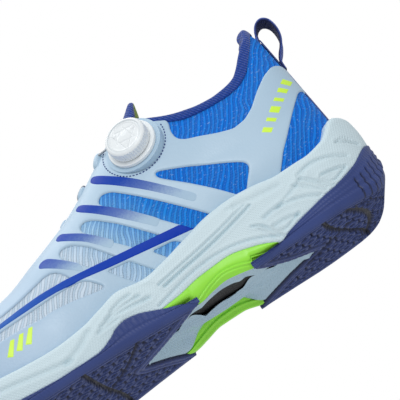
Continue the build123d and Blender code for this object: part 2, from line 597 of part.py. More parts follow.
with BuildPart() as dial_knob:
    with BuildSketch(dial_plane.offset(3.1)):
        Circle(DIAL_R)
    extrude(amount=6.3)
    chamfer(dial_knob.edges().filter_by(GeomType.CIRCLE).sort_by(Axis(DIAL_O, DIAL_N))[-1], 0.9)
    with BuildSketch(dial_plane.offset(3.0)):
        Circle(9.75)
    extrude(amount=4.6, mode=Mode.SUBTRACT)
    with BuildSketch(dial_plane.offset(8.7)):
        Circle(9.0)
    extrude(amount=1.2, mode=Mode.SUBTRACT)
    with BuildSketch(dial_plane.offset(3.6)):
        with PolarLocations(DIAL_R + 0.25, 40):
            Circle(0.5)
    extrude(amount=4.6, mode=Mode.SUBTRACT)
save(dial_knob.part, "dial_knob")

with BuildPart() as dial_cap:
    with BuildSketch(dial_plane.offset(8.7)):
        Circle(9.0)
    extrude(amount=0.7)
save(dial_cap.part, "dial_cap")

# ---------------------------------------------------------------- lace and guides
def over(s, y, up):
    """Point above the instep at (s, y)."""
    return (X(s), y, lerp(RIDGE, s) + up)


toward = [over(117.5, -12.5, 2.4)[i] - DIAL_O[i] for i in range(3)]
along = sum(toward[i] * DIAL_N[i] for i in range(3))
flat = [toward[i] - along * DIAL_N[i] for i in range(3)]
fl = math.sqrt(sum(v * v for v in flat))
LACE_EXIT = tuple(DIAL_O[i] + DIAL_N[i] * 1.75 + flat[i] / fl * DIAL_FLANGE_R for i in range(3))
ROUTE = [LACE_EXIT, over(118.0, -12.5, 2.4), over(121.5, 16.5, 2.2), over(126.5, 16.0, 2.2), over(130.5, -12.0, 2.2),
         over(135.5, -11.5, 2.2), over(139.0, 14.0, 2.2), over(143.5, 13.5, 2.2), over(147.0, -10.0, 2.2),
         over(151.0, -9.5, 2.2), over(153.5, 10.5, 2.2)]
radii = []
for i in range(1, len(ROUTE) - 1):
    a = [ROUTE[i][k] - ROUTE[i - 1][k] for k in range(3)]
    b = [ROUTE[i + 1][k] - ROUTE[i][k] for k in range(3)]
    la, lb = math.sqrt(sum(v * v for v in a)), math.sqrt(sum(v * v for v in b))
    turn = math.acos(max(-1, min(1, sum(a[k] * b[k] for k in range(3)) / la / lb)))
    radii.append(min(0.45 * min(la, lb) / math.tan(turn / 2), 12.0))
print("lace arc radii", [round(r, 1) for r in radii])
with BuildPart() as lace_cable:
    with BuildLine() as lace_path:
        FilletPolyline(*ROUTE, radius=radii)
    with BuildSketch(Plane(origin=ROUTE[0], z_dir=tuple(ROUTE[1][k] - ROUTE[0][k] for k in range(3)))):
        Circle(CABLE_D / 2)
    sweep(path=lace_path.wire())
lace_length = sum(e.length for e in lace_path.edges())
print("lace length", round(lace_length, 1), "section times length",
      round(lace_length * math.pi * CABLE_D ** 2 / 4, 1), "volume", round(lace_cable.part.volume, 1))
save(lace_cable.part, "lace_cable")


def guide(s0, s1, y0, y1):
    """One moulded lace guide standing on the instep over (s0..s1, y0..y1)."""
    z = lerp(RIDGE, (s0 + s1) / 2)
    with BuildPart() as block:
        add(plan_prism([(s0, y0), (s1, y0), (s1, y1), (s0, y1)], z - 14, z + 4.2))
        add(side_prism([(s0 - 1, lerp(RIDGE, s0 - 1) + 3.5), (s1 + 1, lerp(RIDGE, s1 + 1) + 3.5), (s1 + 1, 40), (s0 - 1, 40)]),
            mode=Mode.INTERSECT)
        add(cup_skin, mode=Mode.SUBTRACT)
    return block.part


LAT_GUIDES = [(115.0, 120.5, -17.5, -11.0), (130.5, 136.0, -15.5, -10.3), (146.8, 151.8, -13.5, -8.2)]
MED_GUIDES = [(121.0, 127.0, 15.2, 20.5), (138.5, 144.0, 13.0, 18.0), (151.5, 156.0, 9.0, 14.0)]
with BuildPart() as lateral_lace_guides:
    for place in LAT_GUIDES:
        add(guide(*place))
save(lateral_lace_guides.part, "lateral_lace_guides")
with BuildPart() as medial_lace_guides:
    for place in MED_GUIDES:
        add(guide(*place))
save(medial_lace_guides.part, "medial_lace_guides")
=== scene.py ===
import bpy, math
import numpy as np
from mathutils import Vector, Matrix
from mathutils.geometry import delaunay_2d_cdt

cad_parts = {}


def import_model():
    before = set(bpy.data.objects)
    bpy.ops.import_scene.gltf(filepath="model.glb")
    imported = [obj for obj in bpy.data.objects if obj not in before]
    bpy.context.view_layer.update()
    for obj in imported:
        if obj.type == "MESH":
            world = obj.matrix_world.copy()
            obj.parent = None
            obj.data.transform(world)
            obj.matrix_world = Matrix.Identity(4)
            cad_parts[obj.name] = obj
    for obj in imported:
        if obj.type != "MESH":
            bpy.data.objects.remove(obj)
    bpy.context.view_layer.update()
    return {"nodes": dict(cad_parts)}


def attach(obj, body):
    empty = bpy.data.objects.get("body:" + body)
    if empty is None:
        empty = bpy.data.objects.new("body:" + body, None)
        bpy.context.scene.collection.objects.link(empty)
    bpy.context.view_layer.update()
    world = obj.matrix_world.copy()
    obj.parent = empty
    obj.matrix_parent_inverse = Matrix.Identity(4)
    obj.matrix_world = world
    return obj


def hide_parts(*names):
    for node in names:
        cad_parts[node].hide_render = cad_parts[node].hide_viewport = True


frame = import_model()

MM = 0.001
XD = 145.4

# ------------------------------------------------------------------ tables
LAT = [(4.5, 0), (5.2, 6), (7, 12.5), (12, 21), (20, 29), (30, 34), (45, 37), (65, 37), (85, 36.5),
       (100, 37), (115, 39), (130, 41.5), (150, 45.5), (170, 49), (190, 51.2), (205, 51.5),
       (220, 50), (238, 45.5), (254, 38.5), (268, 29), (278, 18.5), (285, 7.5), (288, -4)]
MED = [(4.5, 0), (5.2, 6), (7, 12.5), (12, 20.5), (20, 28.5), (30, 33.5), (50, 36), (70, 34), (90, 32.5),
       (110, 32.5), (130, 35), (150, 39.5), (170, 45), (190, 49.5), (205, 51.5), (220, 51),
       (238, 48.5), (254, 43), (268, 35), (278, 26), (285, 15), (288, 4)]
UNDER = [(3.6, 22), (6, 13), (9, 7.5), (13, 3.2), (18, 0.8), (24, 0), (110, 0), (205, 0), (220, 0.8),
         (238, 2.8), (254, 6), (268, 10), (278, 13.5), (289.3, 18.6)]
MID_TOP = [(3.6, 43.8), (12, 45), (27, 34.5), (40, 31.5), (53, 31.5), (68, 34), (80, 35), (91, 34.2),
           (108, 30), (120, 26.5), (134, 23.8), (146, 25), (157, 22), (168, 18.8), (185, 17),
           (200, 18), (215, 20), (235, 22), (255, 25), (272, 29.5), (289.3, 34.4)]
WRAP = [(4.5, 28), (10, 25.5), (22, 17.5), (33, 13.5), (45, 11), (66, 6.5), (76, 5), (90, 4.2),
        (118, 4.2), (126, 6), (134, 8.5), (142, 11.5), (150, 12.6), (158, 10.5), (166, 6.5), (180, 5.4),
        (200, 6), (220, 8.5), (240, 12), (260, 18), (275, 24), (288, 31)]
BOARD = [(0, 20.5), (11.5, 20.5), (32, 20), (60, 20), (98, 19), (134, 15.6), (168, 11.2), (186, 9.8), (204, 9),
         (220, 9.2), (235, 10.2), (248, 12.2), (260, 14.8), (270, 17.8), (277, 20.2), (284, 22.8), (292, 26)]
UP_LAT = [(11.5, 0), (11.7, 3.4), (12.4, 8), (14, 13.5), (18, 19.5), (24, 25), (32, 29), (45, 32), (60, 33), (80, 33),
          (100, 33.5), (120, 35.5), (140, 38.5), (160, 42.5), (180, 46), (200, 47.6), (215, 47),
          (230, 44.2), (245, 39), (258, 32), (268, 24.5), (276, 16), (281, 8.5), (284, 0), (284.5, -4)]
UP_MED = [(11.5, 0), (11.7, 3.4), (12.4, 8), (14, 13.5), (18, 19), (24, 24.5), (32, 28.5), (45, 31.5), (60, 31), (80, 29.5),
          (100, 29), (120, 30.5), (140, 34), (160, 39), (180, 43.5), (200, 46.5), (215, 47),
          (230, 45.5), (245, 42), (258, 36.5), (268, 30.5), (276, 23), (281, 16), (284, 8), (284.5, 4)]
RIDGE = [(11.5, 127), (75, 127), (85, 122), (92, 115.5), (98, 111), (109, 103.5),
         (117, 98.5), (122, 95), (132, 88.5), (149, 79), (161, 74), (173.5, 69), (190, 62.5),
         (200, 60.5), (215, 57), (230, 54), (245, 51.5), (258, 48.5), (268, 45.5), (276, 41.5),
         (281, 37.5), (284.5, 33)]
CROWN = [(11.5, 2), (90, 6), (120, 8), (160, 10), (200, 12), (230, 12), (258, 10), (276, 6), (284.5, 2)]
RIM_TOP = [(11.5, 117.4), (14, 117), (16.5, 115), (20, 110.5), (26, 105.5), (31, 100.5), (36, 95.2), (40, 91.9), (47, 89.5),
           (55, 88.5), (62, 89), (70, 91), (78, 93.8), (85, 97.5), (90, 101), (95, 106.5), (98, 112), (104, 119)]
RIM_LOW = [(11.5, 112.5), (14, 111.5), (17, 108.6), (21, 103.5), (27, 96.4), (32, 90.7), (36, 87.6), (41, 85.2), (50, 83.6),
           (57, 83.6), (64, 84.2), (72, 85.8), (78, 88.6), (84, 92.6), (90, 97), (95, 103), (98, 108), (104, 115)]


def smooth(table):
    """Monotone cubic through a table of (x, y)."""
    x = np.array([p[0] for p in table], float); y = np.array([p[1] for p in table], float)
    h = np.diff(x); dl = np.diff(y) / h
    m = np.zeros(len(x)); m[0], m[-1] = dl[0], dl[-1]
    for i in range(1, len(x) - 1):
        if dl[i - 1] * dl[i] > 0:
            w1, w2 = 2 * h[i] + h[i - 1], h[i] + 2 * h[i - 1]
            m[i] = (w1 + w2) / (w1 / dl[i - 1] + w2 / dl[i])

    def f(q):
        q = np.clip(np.asarray(q, float), x[0], x[-1])
        i = np.clip(np.searchsorted(x, q) - 1, 0, len(x) - 2)
        t = (q - x[i]) / h[i]
        return ((2 * t**3 - 3 * t**2 + 1) * y[i] + (t**3 - 2 * t**2 + t) * h[i] * m[i]
                + (-2 * t**3 + 3 * t**2) * y[i + 1] + (t**3 - t**2) * h[i] * m[i + 1])
    return f


fLAT, fMED, fUNDER, fTOP, fWRAP, fBOARD = map(smooth, (LAT, MED, UNDER, MID_TOP, WRAP, BOARD))
fUL, fUM, fRIDGE, fCROWN, fRIM, fRLOW = map(smooth, (UP_LAT, UP_MED, RIDGE, CROWN, RIM_TOP, RIM_LOW))


def ss(a, b, x):
    t = np.clip((np.asarray(x, float) - a) / (b - a), 0, 1)
    return t * t * (3 - 2 * t)


def half(s, z, side):
    w0 = fUL(s) if side < 0 else fUM(s)
    feather, ridge = fTOP(s), fRIDGE(s)
    crown = np.minimum(fCROWN(s), w0)
    board = fBOARD(s)
    q = np.clip((z - board) / np.maximum(feather - board, 1.0), 0, 1)
    low = w0 - np.minimum(3.5, 0.35 * np.abs(w0)) * (1 - q) ** 2
    h = np.maximum(z - feather, 0)
    k = ss(70, 98, s)
    end = np.clip((s - 11.5) / 30.0, 0, 1)
    heel = w0 + 1.0 * np.sin(np.pi * np.minimum(h / 24.0, 1.0)) * np.clip(w0 / 10, 0, 1) - (0.0011 + 0.0018 * end) * h * h * np.clip(w0 / 14, 0, 1)
    heel = np.maximum(heel, 0.22 * w0)
    t = np.clip(h / np.maximum(ridge - feather, 1.0), 0, 1)
    fore = crown + (w0 - crown) * np.sqrt(np.maximum(0, 1 - t * t))
    up = heel + (fore - heel) * k
    return np.where(z <= feather, low, up)


def lean(z):
    return np.maximum(0, (z - 45) * 0.047) + np.maximum(0, z - 108) * 0.3


# ------------------------------------------------------------------ the upper's unrolled surface
NU = 420
US = 11.5 + 273.0 * (1 - np.cos(np.pi * np.arange(NU + 1) / NU)) / 2
DA, NA = 0.5, 330
DZ, NZ = 0.5, 260


class Skin:
    """The upper's outer surface on one side, by station s and arc length a up from the board."""

    def __init__(self, side):
        self.side = side
        self.P = np.zeros((NU + 1, NA, 3)); self.ZA = np.zeros((NU + 1, NZ)); self.L = np.zeros(NU + 1)
        self.Y = []
        for i, s in enumerate(US):
            b, f, r = float(fBOARD(s)), float(fTOP(s)), float(fRIDGE(s))
            f = max(f, b + 1.0)
            z = np.concatenate([np.linspace(b, f, 14)[:-1], f + (r - f) * np.sin(np.linspace(0, np.pi / 2, 150))])
            y = half(np.full_like(z, s), z, side)
            y0 = y[-1]
            yy = np.linspace(y0, (4.0 if side > 0 else -4.0) if s > 283 else 0.0, 26)[1:]
            cz = r + 0.9 * (1 - (yy / max(abs(y0), .5)) ** 2) * min(1.0, abs(y0) / 6)
            y = np.concatenate([y, yy]); z = np.concatenate([z, cz])
            st = s + lean(z) * math.exp(-(s - 11.5) / 14.0)
            p = np.stack([st, side * y, z], 1)
            a = np.concatenate([[0], np.cumsum(np.linalg.norm(np.diff(p, axis=0), axis=1))])
            self.L[i] = a[-1]
            q = np.arange(NA) * DA
            for c in range(3):
                self.P[i, :, c] = np.interp(q, a, p[:, c])
            zm = np.maximum.accumulate(z) + np.arange(len(z)) * 1e-7
            self.ZA[i] = np.interp(np.arange(NZ) * DZ, zm, a)
            self.Y.append((a, np.abs(y), z))

    def ui(self, s):
        s = np.clip(np.asarray(s, float), 11.5, 284.5)
        return np.arccos(np.clip(1 - 2 * (s - 11.5) / 273.0, -1, 1)) / np.pi * NU

    def raw(self, u, a):
        u = np.clip(u, 0, NU - 1e-6); a = np.clip(np.asarray(a, float) / DA, 0, NA - 1.001)
        i = u.astype(int); j = a.astype(int); fu = (u - i)[..., None]; fa = (a - j)[..., None]
        P = self.P
        return ((P[i, j] * (1 - fa) + P[i, j + 1] * fa) * (1 - fu) + (P[i + 1, j] * (1 - fa) + P[i + 1, j + 1] * fa) * fu)

    def pos(self, s, a, d=0.0):
        """Points d outside the skin, as (s, y, z) in mm."""
        s, a = np.broadcast_arrays(np.asarray(s, float), np.asarray(a, float))
        u = self.ui(s)
        p = self.raw(u, a)
        e = 1.2
        du = self.raw(np.clip(u + e, 0, NU), a) - self.raw(np.clip(u - e, 0, NU), a)
        da = self.raw(u, a + 0.8) - self.raw(u, np.maximum(a - 0.8, 0))
        n = np.cross(du, da)
        n /= np.maximum(np.linalg.norm(n, axis=-1, keepdims=True), 1e-9)
        ref = np.stack([np.where(s < 40, -1.0, np.where(s > 265, 1.0, 0)) * 0.6, p[..., 1], (p[..., 2] - 30) * .6], -1)
        n *= np.where((n * ref).sum(-1, keepdims=True) < 0, -1, 1)
        return p + n * np.asarray(d, float)[..., None] if np.ndim(d) else p + n * d

    def arc(self, s, z):
        u = self.ui(s); u = np.clip(u, 0, NU - 1e-6); i = u.astype(int); f = u - i
        q = np.clip(np.asarray(z, float) / DZ, 0, NZ - 1.001); j = q.astype(int); g = q - j
        Z = self.ZA
        return (Z[i, j] * (1 - g) + Z[i, j + 1] * g) * (1 - f) + (Z[i + 1, j] * (1 - g) + Z[i + 1, j + 1] * g) * f

    def arc_y(self, s, y):
        """Arc length where the section comes in to |y| on top."""
        out = []
        for si, yi in zip(np.atleast_1d(s), np.atleast_1d(y)):
            i = int(round(float(self.ui(si))))
            a, yy, z = self.Y[min(i, NU)]
            k = int(np.argmax(yy)); m = np.where(yy[k:] <= yi)[0]
            out.append(a[k + m[0]] if len(m) else a[-1])
        return np.array(out)


SK = {-1: Skin(-1), 1: Skin(1)}


def world(p):
    p = np.asarray(p, float)
    return np.stack([XD - p[..., 0], p[..., 1], p[..., 2]], -1) * MM


# ------------------------------------------------------------------ mesh helpers
ALL = []


def make(name, verts, faces, mat, body="shoe", mats=None, index=None, flat=False, angle=None):
    me = bpy.data.meshes.new(name)
    me.from_pydata([tuple(v) for v in verts], [], [tuple(int(k) for k in f) for f in faces])
    me.validate()
    me.update()
    ob = bpy.data.objects.new(name, me)
    bpy.context.scene.collection.objects.link(ob)
    for m in ([mat] if mats is None else mats):
        me.materials.append(m)
    if index is not None:
        me.polygons.foreach_set("material_index", np.asarray(index, np.int32))
    if not flat:
        me.polygons.foreach_set("use_smooth", np.ones(len(me.polygons), bool))
        if angle:
            me.set_sharp_from_angle(angle=math.radians(angle))
    ob["body_name"] = body
    ALL.append(ob)
    return ob


def grid_faces(n, m, cu=False, cv=False, keep=None, flip=False):
    i, j = np.meshgrid(np.arange(n if cu else n - 1), np.arange(m if cv else m - 1), indexing="ij")
    i, j = i.ravel(), j.ravel()
    i2, j2 = (i + 1) % n, (j + 1) % m
    f = np.stack([i * m + j, i2 * m + j, i2 * m + j2, i * m + j2], 1)
    if flip:
        f = f[:, ::-1]
    if keep is not None:
        f = f[keep.ravel()]
    return f


def grid(name, P, mat, body="shoe", cu=False, cv=False, keep=None, flip=False, **kw):
    n, m = P.shape[:2]
    f = grid_faces(n, m, cu, cv, keep, flip)
    used = np.unique(f)
    back = np.full(n * m, -1); back[used] = np.arange(len(used))
    return make(name, P.reshape(-1, 3)[used], back[f], mat, body, **kw)


def outward(ob):
    """Faces turned outward on a closed piece."""
    import bmesh
    bm = bmesh.new(); bm.from_mesh(ob.data)
    bmesh.ops.recalc_face_normals(bm, faces=bm.faces)
    bm.to_mesh(ob.data); bm.free()


def seg_dist(p, poly, closed=True):
    """Distance of points p (n,2) to a polyline."""
    poly = np.asarray(poly, float)
    a = poly; b = np.roll(poly, -1, 0)
    if not closed:
        a, b = poly[:-1], poly[1:]
    d = np.full(len(p), 1e9)
    for u, v in zip(a, b):
        w = v - u; l = max((w ** 2).sum(), 1e-12)
        t = np.clip(((p - u) @ w) / l, 0, 1)
        d = np.minimum(d, np.hypot(*(p - (u + t[:, None] * w)).T))
    return d


def inside(p, poly):
    poly = np.asarray(poly, float); x, y = p[:, 0], p[:, 1]
    r = np.zeros(len(p), bool)
    for (x1, y1), (x2, y2) in zip(poly, np.roll(poly, -1, 0)):
        c = (y1 > y) != (y2 > y)
        with np.errstate(divide="ignore", invalid="ignore"):
            r ^= c & (x < (x2 - x1) * (y - y1) / (y2 - y1 + 1e-15) + x1)
    return r


def sdist(p, poly):
    """Signed distance, positive inside."""
    return np.where(inside(p, poly), 1, -1) * seg_dist(p, poly)


def rounded(poly, step=1.2, closed=True, passes=2, keep=0.0):
    """Corner-cut and resampled outline."""
    p = np.asarray(poly, float)
    for _ in range(passes):
        q = np.roll(p, -1, 0) if closed else p[1:]
        a = p if closed else p[:-1]
        n = np.stack([a * .75 + q * .25, a * .25 + q * .75], 1).reshape(-1, 2)
        p = n if closed else np.vstack([p[:1], n, p[-1:]])
    if closed:
        p = np.vstack([p, p[:1]])
    d = np.concatenate([[0], np.cumsum(np.linalg.norm(np.diff(p, axis=0), axis=1))])
    n = max(int(d[-1] / step), 6)
    t = np.linspace(0, d[-1], n + 1)
    if closed:
        t = t[:-1]
    return np.stack([np.interp(t, d, p[:, 0]), np.interp(t, d, p[:, 1])], 1)


# ------------------------------------------------------------------ materials
def new_mat(name):
    m = bpy.data.materials.new(name); m.use_nodes = True
    nt = m.node_tree; b = nt.nodes["Principled BSDF"]
    return m, nt, b


def N(nt, kind, **kw):
    n = nt.nodes.new(kind)
    for k, v in kw.items():
        if k.startswith("i_"):
            n.inputs[int(k[2:]) if k[2:].isdigit() else k[2:].replace("_", " ")].default_value = v
        else:
            setattr(n, k, v)
    return n


def L(nt, a, b):
    nt.links.new(a, b)


def coords(nt, scale=(1, 1, 1), rot=(0, 0, 0)):
    t = N(nt, "ShaderNodeTexCoord"); m = N(nt, "ShaderNodeMapping")
    m.inputs["Scale"].default_value = scale; m.inputs["Rotation"].default_value = rot
    L(nt, t.outputs["Object"], m.inputs["Vector"])
    return m.outputs["Vector"]


def ramp(nt, fac, stops, interp="LINEAR"):
    r = N(nt, "ShaderNodeValToRGB"); r.color_ramp.interpolation = interp
    e = r.color_ramp.elements
    while len(e) < len(stops):
        e.new(0.5)
    for k, (p, c) in zip(e, stops):
        k.position = p; k.color = (*c, 1) if len(c) == 3 else c
    L(nt, fac, r.inputs["Fac"])
    return r.outputs["Color"]


def srgb(r, g, b):
    return tuple(((c / 12.92) if c <= 0.04045 else ((c + 0.055) / 1.055) ** 2.4) for c in (r, g, b))


def mixc(nt, fac, a, b, mode="MIX"):
    m = N(nt, "ShaderNodeMix", data_type="RGBA", blend_type=mode)
    for sock, v in ((m.inputs[0], fac), (m.inputs[6], a), (m.inputs[7], b)):
        if hasattr(v, "links"):
            L(nt, v, sock)
        else:
            sock.default_value = v if not isinstance(v, tuple) else ((*v, 1) if len(v) == 3 else v)
    return m.outputs[2]


def math_(nt, op, a, b=None, c=None, clamp=False):
    m = N(nt, "ShaderNodeMath", operation=op, use_clamp=clamp)
    for k, v in enumerate((a, b, c)):
        if v is None:
            continue
        if hasattr(v, "links"):
            L(nt, v, m.inputs[k])
        else:
            m.inputs[k].default_value = v
    return m.outputs[0]


def bump(nt, bsdf, heights, dist=0.0004, strength=1.0):
    """Bump from a list of (height socket, distance)."""
    last = None
    for h, d in heights:
        b = N(nt, "ShaderNodeBump"); b.inputs["Strength"].default_value = strength
        b.inputs["Distance"].default_value = d
        L(nt, h, b.inputs["Height"])
        if last is not None:
            L(nt, last, b.inputs["Normal"])
        last = b.outputs["Normal"]
    L(nt, last, bsdf.inputs["Normal"])


def xyz(nt):
    t = N(nt, "ShaderNodeTexCoord"); s = N(nt, "ShaderNodeSeparateXYZ")
    L(nt, t.outputs["Object"], s.inputs[0])
    return s.outputs[0], s.outputs[1], s.outputs[2]


def noise(nt, vec, scale, detail=3.0, rough=0.5, out="Fac"):
    n = N(nt, "ShaderNodeTexNoise"); n.inputs["Scale"].default_value = scale
    n.inputs["Detail"].default_value = detail; n.inputs["Roughness"].default_value = rough
    L(nt, vec, n.inputs["Vector"])
    return n.outputs[out]


def wave(nt, vec, scale, axis="X", dist=0.0, dscale=1.0, kind="BANDS", profile="SIN"):
    w = N(nt, "ShaderNodeTexWave", wave_type=kind, wave_profile=profile)
    if kind == "BANDS":
        w.bands_direction = axis
    w.inputs["Scale"].default_value = scale; w.inputs["Distortion"].default_value = dist
    w.inputs["Detail"].default_value = 1.5; w.inputs["Detail Scale"].default_value = dscale
    L(nt, vec, w.inputs["Vector"])
    return w.outputs["Fac"]


def mat_mesh():
    """Engineered mesh: deep blue behind, fading to ice white at the toe, waved emboss and pale flecks."""
    m, nt, b = new_mat("m_mesh")
    x, y, z = xyz(nt)
    t = math_(nt, "ADD", math_(nt, "MULTIPLY", x, -1000.0), 145.4)          # station
    t = math_(nt, "SUBTRACT", t, math_(nt, "MULTIPLY", math_(nt, "SUBTRACT", z, 0.05), 420.0))
    base = ramp(nt, math_(nt, "DIVIDE", t, 290.0, clamp=True),
                [(0.0, srgb(.0, .51, .93)), (0.31, srgb(.0, .50, .93)), (0.37, srgb(.08, .55, .93)),
                 (0.42, srgb(.42, .70, .95)), (0.465, srgb(.66, .82, .95)), (0.53, srgb(.84, .90, .96)), (1.0, srgb(.89, .92, .95))])
    deep = ramp(nt, math_(nt, "DIVIDE", t, 290.0, clamp=True),
                [(0.0, srgb(.0, .40, .82)), (0.31, srgb(.0, .40, .82)), (0.37, srgb(.05, .45, .84)),
                 (0.42, srgb(.30, .56, .85)), (0.465, srgb(.56, .73, .89)), (0.53, srgb(.77, .85, .92)), (1.0, srgb(.80, .86, .91))])
    w1 = wave(nt, coords(nt, (1, 1, 1), (0, -.58, 0)), 128, "X", 7.0, .55)
    fine = wave(nt, coords(nt, (1, 1, 1), (0, 0.6, 0)), 420, "X", .6, 2)
    cross = wave(nt, coords(nt, (1, 1, 1), (0, -0.9, 0)), 420, "Z", .6, 2)
    knit = math_(nt, "MULTIPLY", fine, cross)
    lines = ramp(nt, w1, [(0.0, (0, 0, 0)), (0.30, (.05,) * 3), (0.62, (.9,) * 3), (1.0, (1, 1, 1))])
    sp = noise(nt, coords(nt, (420, 420, 1000), (0, 0.6, 0)), 1.5, 2.0, .7)
    speck = ramp(nt, sp, [(0.0, (0, 0, 0)), (0.62, (0, 0, 0)), (0.70, (1, 1, 1)), (1.0, (1, 1, 1))])
    c = mixc(nt, lines, deep, base)
    c = mixc(nt, math_(nt, "MULTIPLY", knit, 0.16), c, srgb(.6, .85, 1.0))
    c = mixc(nt, math_(nt, "MULTIPLY", speck, 0.38), c, srgb(.78, .92, 1.0))
    L(nt, c, b.inputs["Base Color"])
    b.inputs["Roughness"].default_value = .62
    b.inputs["Specular IOR Level"].default_value = .25
    bump(nt, b, [(lines, .0007), (knit, .00025)], strength=.8)
    return m


def mat_band():
    """Printed band: deep blue near the instep that fades into the film; the fade is stored on the mesh."""
    m, nt, b = new_mat("m_band")
    at = N(nt, "ShaderNodeAttribute", attribute_name="fade")
    n = noise(nt, coords(nt), 900, 3, .7)
    f = math_(nt, "ADD", at.outputs["Fac"], math_(nt, "MULTIPLY", math_(nt, "SUBTRACT", n, .5), .25), clamp=True)
    c = ramp(nt, f, [(0.0, srgb(.68, .785, .865)), (.12, srgb(.66, .765, .86)), (.45, srgb(.36, .47, .73)), (.75, srgb(.06, .26, .67)), (1.0, srgb(.01, .22, .66))])
    L(nt, c, b.inputs["Base Color"]); b.inputs["Roughness"].default_value = .45
    bump(nt, b, [(noise(nt, coords(nt), 1400, 2, .6), .00005)])
    return m


def mat_stripe():
    """Diagonal film stripe, deep blue behind and paler toward the toe."""
    m, nt, b = new_mat("m_stripe")
    x, y, z = xyz(nt)
    t = math_(nt, "DIVIDE", math_(nt, "ADD", math_(nt, "MULTIPLY", x, -1000.0), 45.4), 130.0, clamp=True)
    n = noise(nt, coords(nt), 500, 3, .7)
    c = ramp(nt, math_(nt, "ADD", t, math_(nt, "MULTIPLY", math_(nt, "SUBTRACT", n, .5), .12), clamp=True),
             [(0.0, srgb(.0, .21, .68)), (.4, srgb(.0, .24, .69)), (.75, srgb(.17, .38, .72)), (1.0, srgb(.38, .53, .78))])
    L(nt, c, b.inputs["Base Color"]); b.inputs["Roughness"].default_value = .45
    bump(nt, b, [(n, .0001)], strength=.7)
    return m


def mat_film():
    """Fused TPU film: pale steel blue satin with a faint print grain."""
    m, nt, b = new_mat("m_film")
    x, y, z = xyz(nt); v = coords(nt)
    big = noise(nt, v, 18, 2)
    c = ramp(nt, big, [(0.3, srgb(.68, .785, .865)), (0.7, srgb(.71, .81, .885))])
    t = math_(nt, "DIVIDE", math_(nt, "ADD", math_(nt, "MULTIPLY", x, -1000.0), 145.4 - 130), 150.0, clamp=True)
    c = mixc(nt, t, c, srgb(.64, .74, .85))
    grain = noise(nt, v, 1400, 2, .6)
    dots = N(nt, "ShaderNodeTexVoronoi"); dots.inputs["Scale"].default_value = 900; L(nt, v, dots.inputs["Vector"])
    L(nt, c, b.inputs["Base Color"])
    rr = ramp(nt, noise(nt, v, 60, 4), [(0.3, (.36,) * 3), (0.7, (.48,) * 3)])
    L(nt, rr, b.inputs["Roughness"])
    bump(nt, b, [(grain, .00005), (dots.outputs["Distance"], .00006)], strength=.7)
    b.inputs["Coat Weight"].default_value = .12; b.inputs["Coat Roughness"].default_value = .35
    return m


def mat_plain(name, col, rough=.5, grain=600, gd=.00008, var=.06, coat=0.0, metal=0.0, sheen=0.0, blotch=40, sss=0.0):
    """Moulded plastic, foam or rubber with a slight tone drift and a fine moulded grain."""
    m, nt, b = new_mat(name)
    v = coords(nt)
    lo = tuple(max(c * (1 - var), 0) for c in col); hi = tuple(min(c * (1 + var), 1) for c in col)
    c = ramp(nt, noise(nt, v, blotch, 3), [(0.3, lo), (0.7, hi)])
    L(nt, c, b.inputs["Base Color"])
    L(nt, ramp(nt, noise(nt, v, blotch * 3, 4), [(0.25, (max(rough - .07, .03),) * 3), (0.75, (min(rough + .07, 1),) * 3)]),
      b.inputs["Roughness"])
    bump(nt, b, [(noise(nt, v, grain, 3, .6), gd)], strength=.8)
    b.inputs["Coat Weight"].default_value = coat; b.inputs["Coat Roughness"].default_value = .25
    b.inputs["Metallic"].default_value = metal
    b.inputs["Sheen Weight"].default_value = sheen
    if sss:
        b.inputs["Subsurface Weight"].default_value = sss
        b.inputs["Subsurface Radius"].default_value = (.004, .005, .006)
        b.inputs["Subsurface Scale"].default_value = 1.0
    return m


def mat_knit(name, col, rib=(0, 0, 0), scale=900, dark=None, rough=.85):
    """Ribbed knit: rows of small loops."""
    m, nt, b = new_mat(name)
    a = wave(nt, coords(nt, (1, 1, 1), rib), scale, "X", .6, 30)
    c2 = wave(nt, coords(nt, (1, 1, 1), rib), scale * .55, "Z", 2.0, 60)
    h = math_(nt, "MULTIPLY", a, math_(nt, "ADD", math_(nt, "MULTIPLY", c2, .6), .4))
    dk = dark or tuple(c * .45 for c in col)
    c = mixc(nt, h, dk, col)
    fz = noise(nt, coords(nt), 2400, 3, .7)
    c = mixc(nt, math_(nt, "MULTIPLY", fz, .25), c, tuple(min(k * 1.5 + .03, 1) for k in col))
    L(nt, c, b.inputs["Base Color"])
    b.inputs["Roughness"].default_value = rough
    b.inputs["Sheen Weight"].default_value = .35; b.inputs["Sheen Roughness"].default_value = .5
    bump(nt, b, [(h, .0004), (fz, .0001)], strength=.9)
    return m


def mat_weave(name, col, col2, scale=700, twill=True, rough=.55, coat=0.0):
    """Woven webbing or carbon cloth."""
    m, nt, b = new_mat(name)
    v = coords(nt, (1, 1, 1), (0.02, 0.02, 0.785 if twill else 0.02))
    ch = N(nt, "ShaderNodeTexChecker"); ch.inputs["Scale"].default_value = scale * .5; L(nt, v, ch.inputs["Vector"])
    a = wave(nt, v, scale * .8, "X"); c = wave(nt, v, scale * .8, "Y")
    h = mixc(nt, ch.outputs["Fac"], a, c)
    L(nt, mixc(nt, h, col, col2), b.inputs["Base Color"])
    b.inputs["Roughness"].default_value = rough
    b.inputs["Coat Weight"].default_value = coat; b.inputs["Coat Roughness"].default_value = .12
    bump(nt, b, [(h, .00025)], strength=.8)
    return m


